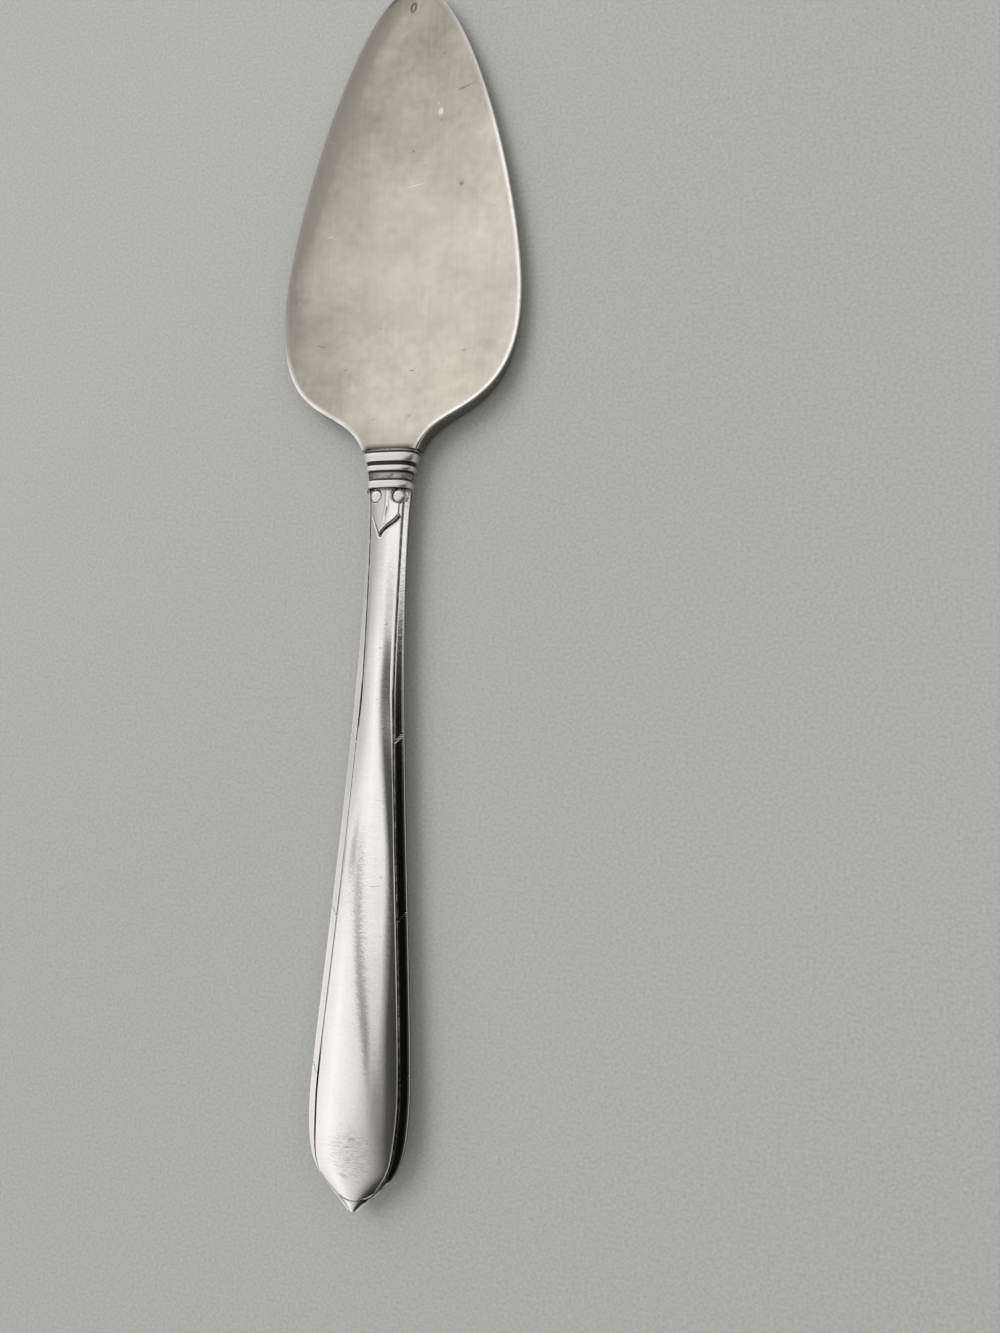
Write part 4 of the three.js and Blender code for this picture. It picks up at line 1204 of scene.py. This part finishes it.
def makeFloor(look):
    size = look["size"] / 2
    mesh = bpy.data.meshes.new("floor")
    corners = [(-size, -size, 0), (size, -size, 0), (size, size, 0), (-size, size, 0)]
    mesh.from_pydata(corners, [], [(0, 1, 2, 3)])
    material, tree, shader, place = newFinish("floorCloth")
    weave = effect(tree, "cloudiness", Vector=place, **look["weave"])
    darker = rgb(*(look["shade"] * channel for channel in look["colour"][:3]))
    feed(tree, shader.inputs["Base Color"], blendColours(tree, weave, look["colour"], darker))
    shader.inputs["Roughness"].default_value = look["roughness"]
    shader.inputs["Specular IOR Level"].default_value = look["gloss"]
    mesh.materials.append(material)
    floor = bpy.data.objects.new("floor", mesh)
    scene.collection.objects.link(floor)


makeFloor(floorLook)

# a soft sky in bands from the near side to the far one: bright on the left, with a soft shade on the near right
skyLook = {
    "level": 1.13, "cameraShade": 0.62, "farLeftShare": 0.75, "farRight": 0.22,
    "leftLean": -56, "middleLean": -22, "flankLean": 45, "borderLean": 58, "farLean": 76,
    "bands": (
        {"pitch": -27, "left": 0.92, "middle": 0.62, "shade": ((-5, 0.46), (18, 0.06)), "right": 0.003},
        {"pitch": -15, "left": 0.95, "middle": 0.74,
         "shade": ((-7, 0.52), (0, 0.36), (4, 0.27), (14, 0.21), (20, 0.07)), "right": 0.003},
        {"pitch": -9, "left": 0.93, "middle": 0.70, "shade": ((7, 0.60), (18, 0.06)), "right": 0.003},
        {"pitch": -5, "left": 0.82, "middle": 0.90, "shade": ((4, 0.80), (13, 0.06)), "right": 0.003},
        {"pitch": 1, "left": 0.66, "middle": 0.92, "shade": ((-4, 0.82), (14, 0.10)), "right": 0.003},
        {"pitch": 4, "left": 0.70, "middle": 0.90, "shade": ((4, 0.76), (20, 0.21), (38, 0.15)), "right": 0.004},
        {"pitch": 7, "left": 0.61, "middle": 0.74, "shade": ((8, 0.83), (25, 0.56), (38, 0.46)), "right": 0.03},
        {"pitch": 10, "left": 0.50, "middle": 0.65, "shade": ((-4, 0.73), (14, 0.88)), "right": 0.92},
        {"pitch": 14, "left": 0.62, "middle": 0.54, "shade": ((0, 0.62), (20, 0.76)), "right": 0.78},
        {"pitch": 22, "left": 1.05, "middle": 0.84, "shade": ((-7, 0.66), (14, 0.45)), "right": 0.40},
        {"pitch": 45, "left": 1.12, "middle": 0.90, "shade": ((-7, 0.76), (20, 0.58)), "right": 0.50},
    ),
    # a soft dark bar that bends away to the near side
    "bar": {"lean": -54, "pitch": -5.6, "bend": 19.0, "half": 11, "core": 2, "fade": 2.2, "end": 2,
            "endFade": 12, "depth": 0.60},
}


def skyRamp(tree, share, band, look):
    # levels from the far left to the far right, at angles from straight up
    stops = [(look["leftLean"], band["left"]), (look["middleLean"], band["middle"]), *band["shade"],
             (look["flankLean"], band["right"]), (look["borderLean"], band["right"]),
             (look["farLean"], look["farRight"])]
    ramp = addNode(tree, "ShaderNodeValToRGB", {0: share})
    elements = ramp.color_ramp.elements
    elements.remove(elements[1])
    elements[0].position, elements[0].color = 0.0, grey(look["farLeftShare"] * band["left"])
    for degrees, level in stops:
        elements.new((degrees + 90) / 180).color = grey(level)
    return ramp.outputs[0]


def skyBar(tree, lean, pitch, bar):
    across, along = (times(tree, angle, math.degrees(1)) for angle in (lean, pitch))
    below = sums(tree, "MAXIMUM", sums(tree, "SUBTRACT", bar["pitch"], along), 0.0)
    middle = sums(tree, "MULTIPLY_ADD", sums(tree, "SQRT", below), bar["bend"], bar["lean"])
    away = sums(tree, "ABSOLUTE", sums(tree, "SUBTRACT", across, middle))
    near = spread(tree, away, bar["half"], bar["core"])
    start = spread(tree, along, bar["pitch"] + bar["fade"], bar["pitch"])
    end = spread(tree, across, bar["end"], bar["end"] - bar["endFade"])
    mask = times(tree, near, times(tree, start, end))
    return sums(tree, "SUBTRACT", 1.0, times(tree, mask, bar["depth"]))


def makeSky(look):
    world = bpy.data.worlds.new("softSky")
    scene.world = world
    world.use_nodes = True
    tree = world.node_tree
    tree.nodes.clear()
    axes = axesOf(tree, addNode(tree, "ShaderNodeTexCoord").outputs["Generated"])
    lean = sums(tree, "ARCTAN2", axes["X"], axes["Z"])
    pitch = sums(tree, "ARCSINE", axes["Y"])
    share = spread(tree, lean, -math.pi / 2, math.pi / 2, style="LINEAR")
    bands = look["bands"]
    colour = skyRamp(tree, share, bands[0], look)
    for below, band in zip(bands[:-1], bands[1:]):
        height = spread(tree, pitch, math.radians(below["pitch"]), math.radians(band["pitch"]))
        colour = blendColours(tree, height, colour, skyRamp(tree, share, band, look))
    colour = blendColours(tree, 1.0, colour, skyBar(tree, lean, pitch, look["bar"]), "MULTIPLY")
    seen = addNode(tree, "ShaderNodeLightPath").outputs["Is Camera Ray"]
    colour = blendColours(tree, seen, colour, grey(look["cameraShade"] / look["level"]))
    background = addNode(tree, "ShaderNodeBackground", {"Color": colour, "Strength": look["level"]})
    addNode(tree, "ShaderNodeOutputWorld", {"Surface": background.outputs[0]})


makeSky(skyLook)

# two plain soft lamps that metal doesn't mirror
lampLooks = {
    "windowLamp": {"place": (-0.34, 0.26, 0.55), "size": 0.45, "watts": 2.6},
    "fillLamp": {"place": (0.45, -0.10, 0.60), "size": 0.70, "watts": 1.2},
}


def makeLamp(name, look):
    data = bpy.data.lights.new(name, "AREA")
    data.energy, data.size = look["watts"], look["size"]
    lamp = bpy.data.objects.new(name, data)
    lamp.location = look["place"]
    lamp.rotation_euler = (-lamp.location).to_track_quat("-Z", "Y").to_euler()
    lamp.visible_glossy = False
    scene.collection.objects.link(lamp)


for name, look in lampLooks.items():
    makeLamp(name, look)

cameraLook = {"place": (50.8, -20.1, 127.0), "turn": (4.37, 15.56, 2.40), "lens": 28.36, "sensor": 36.0,
              "nearest": 0.001, "farthest": 20.0}


def makeCamera(look):
    data = bpy.data.cameras.new("photoView")
    data.lens, data.sensor_width, data.sensor_fit = look["lens"], look["sensor"], "AUTO"
    data.clip_start, data.clip_end = look["nearest"], look["farthest"]
    camera = bpy.data.objects.new("photoView", data)
    camera.location = [value * toMetres for value in look["place"]]
    camera.rotation_euler = [math.radians(value) for value in look["turn"]]
    scene.collection.objects.link(camera)
    scene.camera = camera


makeCamera(cameraLook)
print("floor, light and camera set")
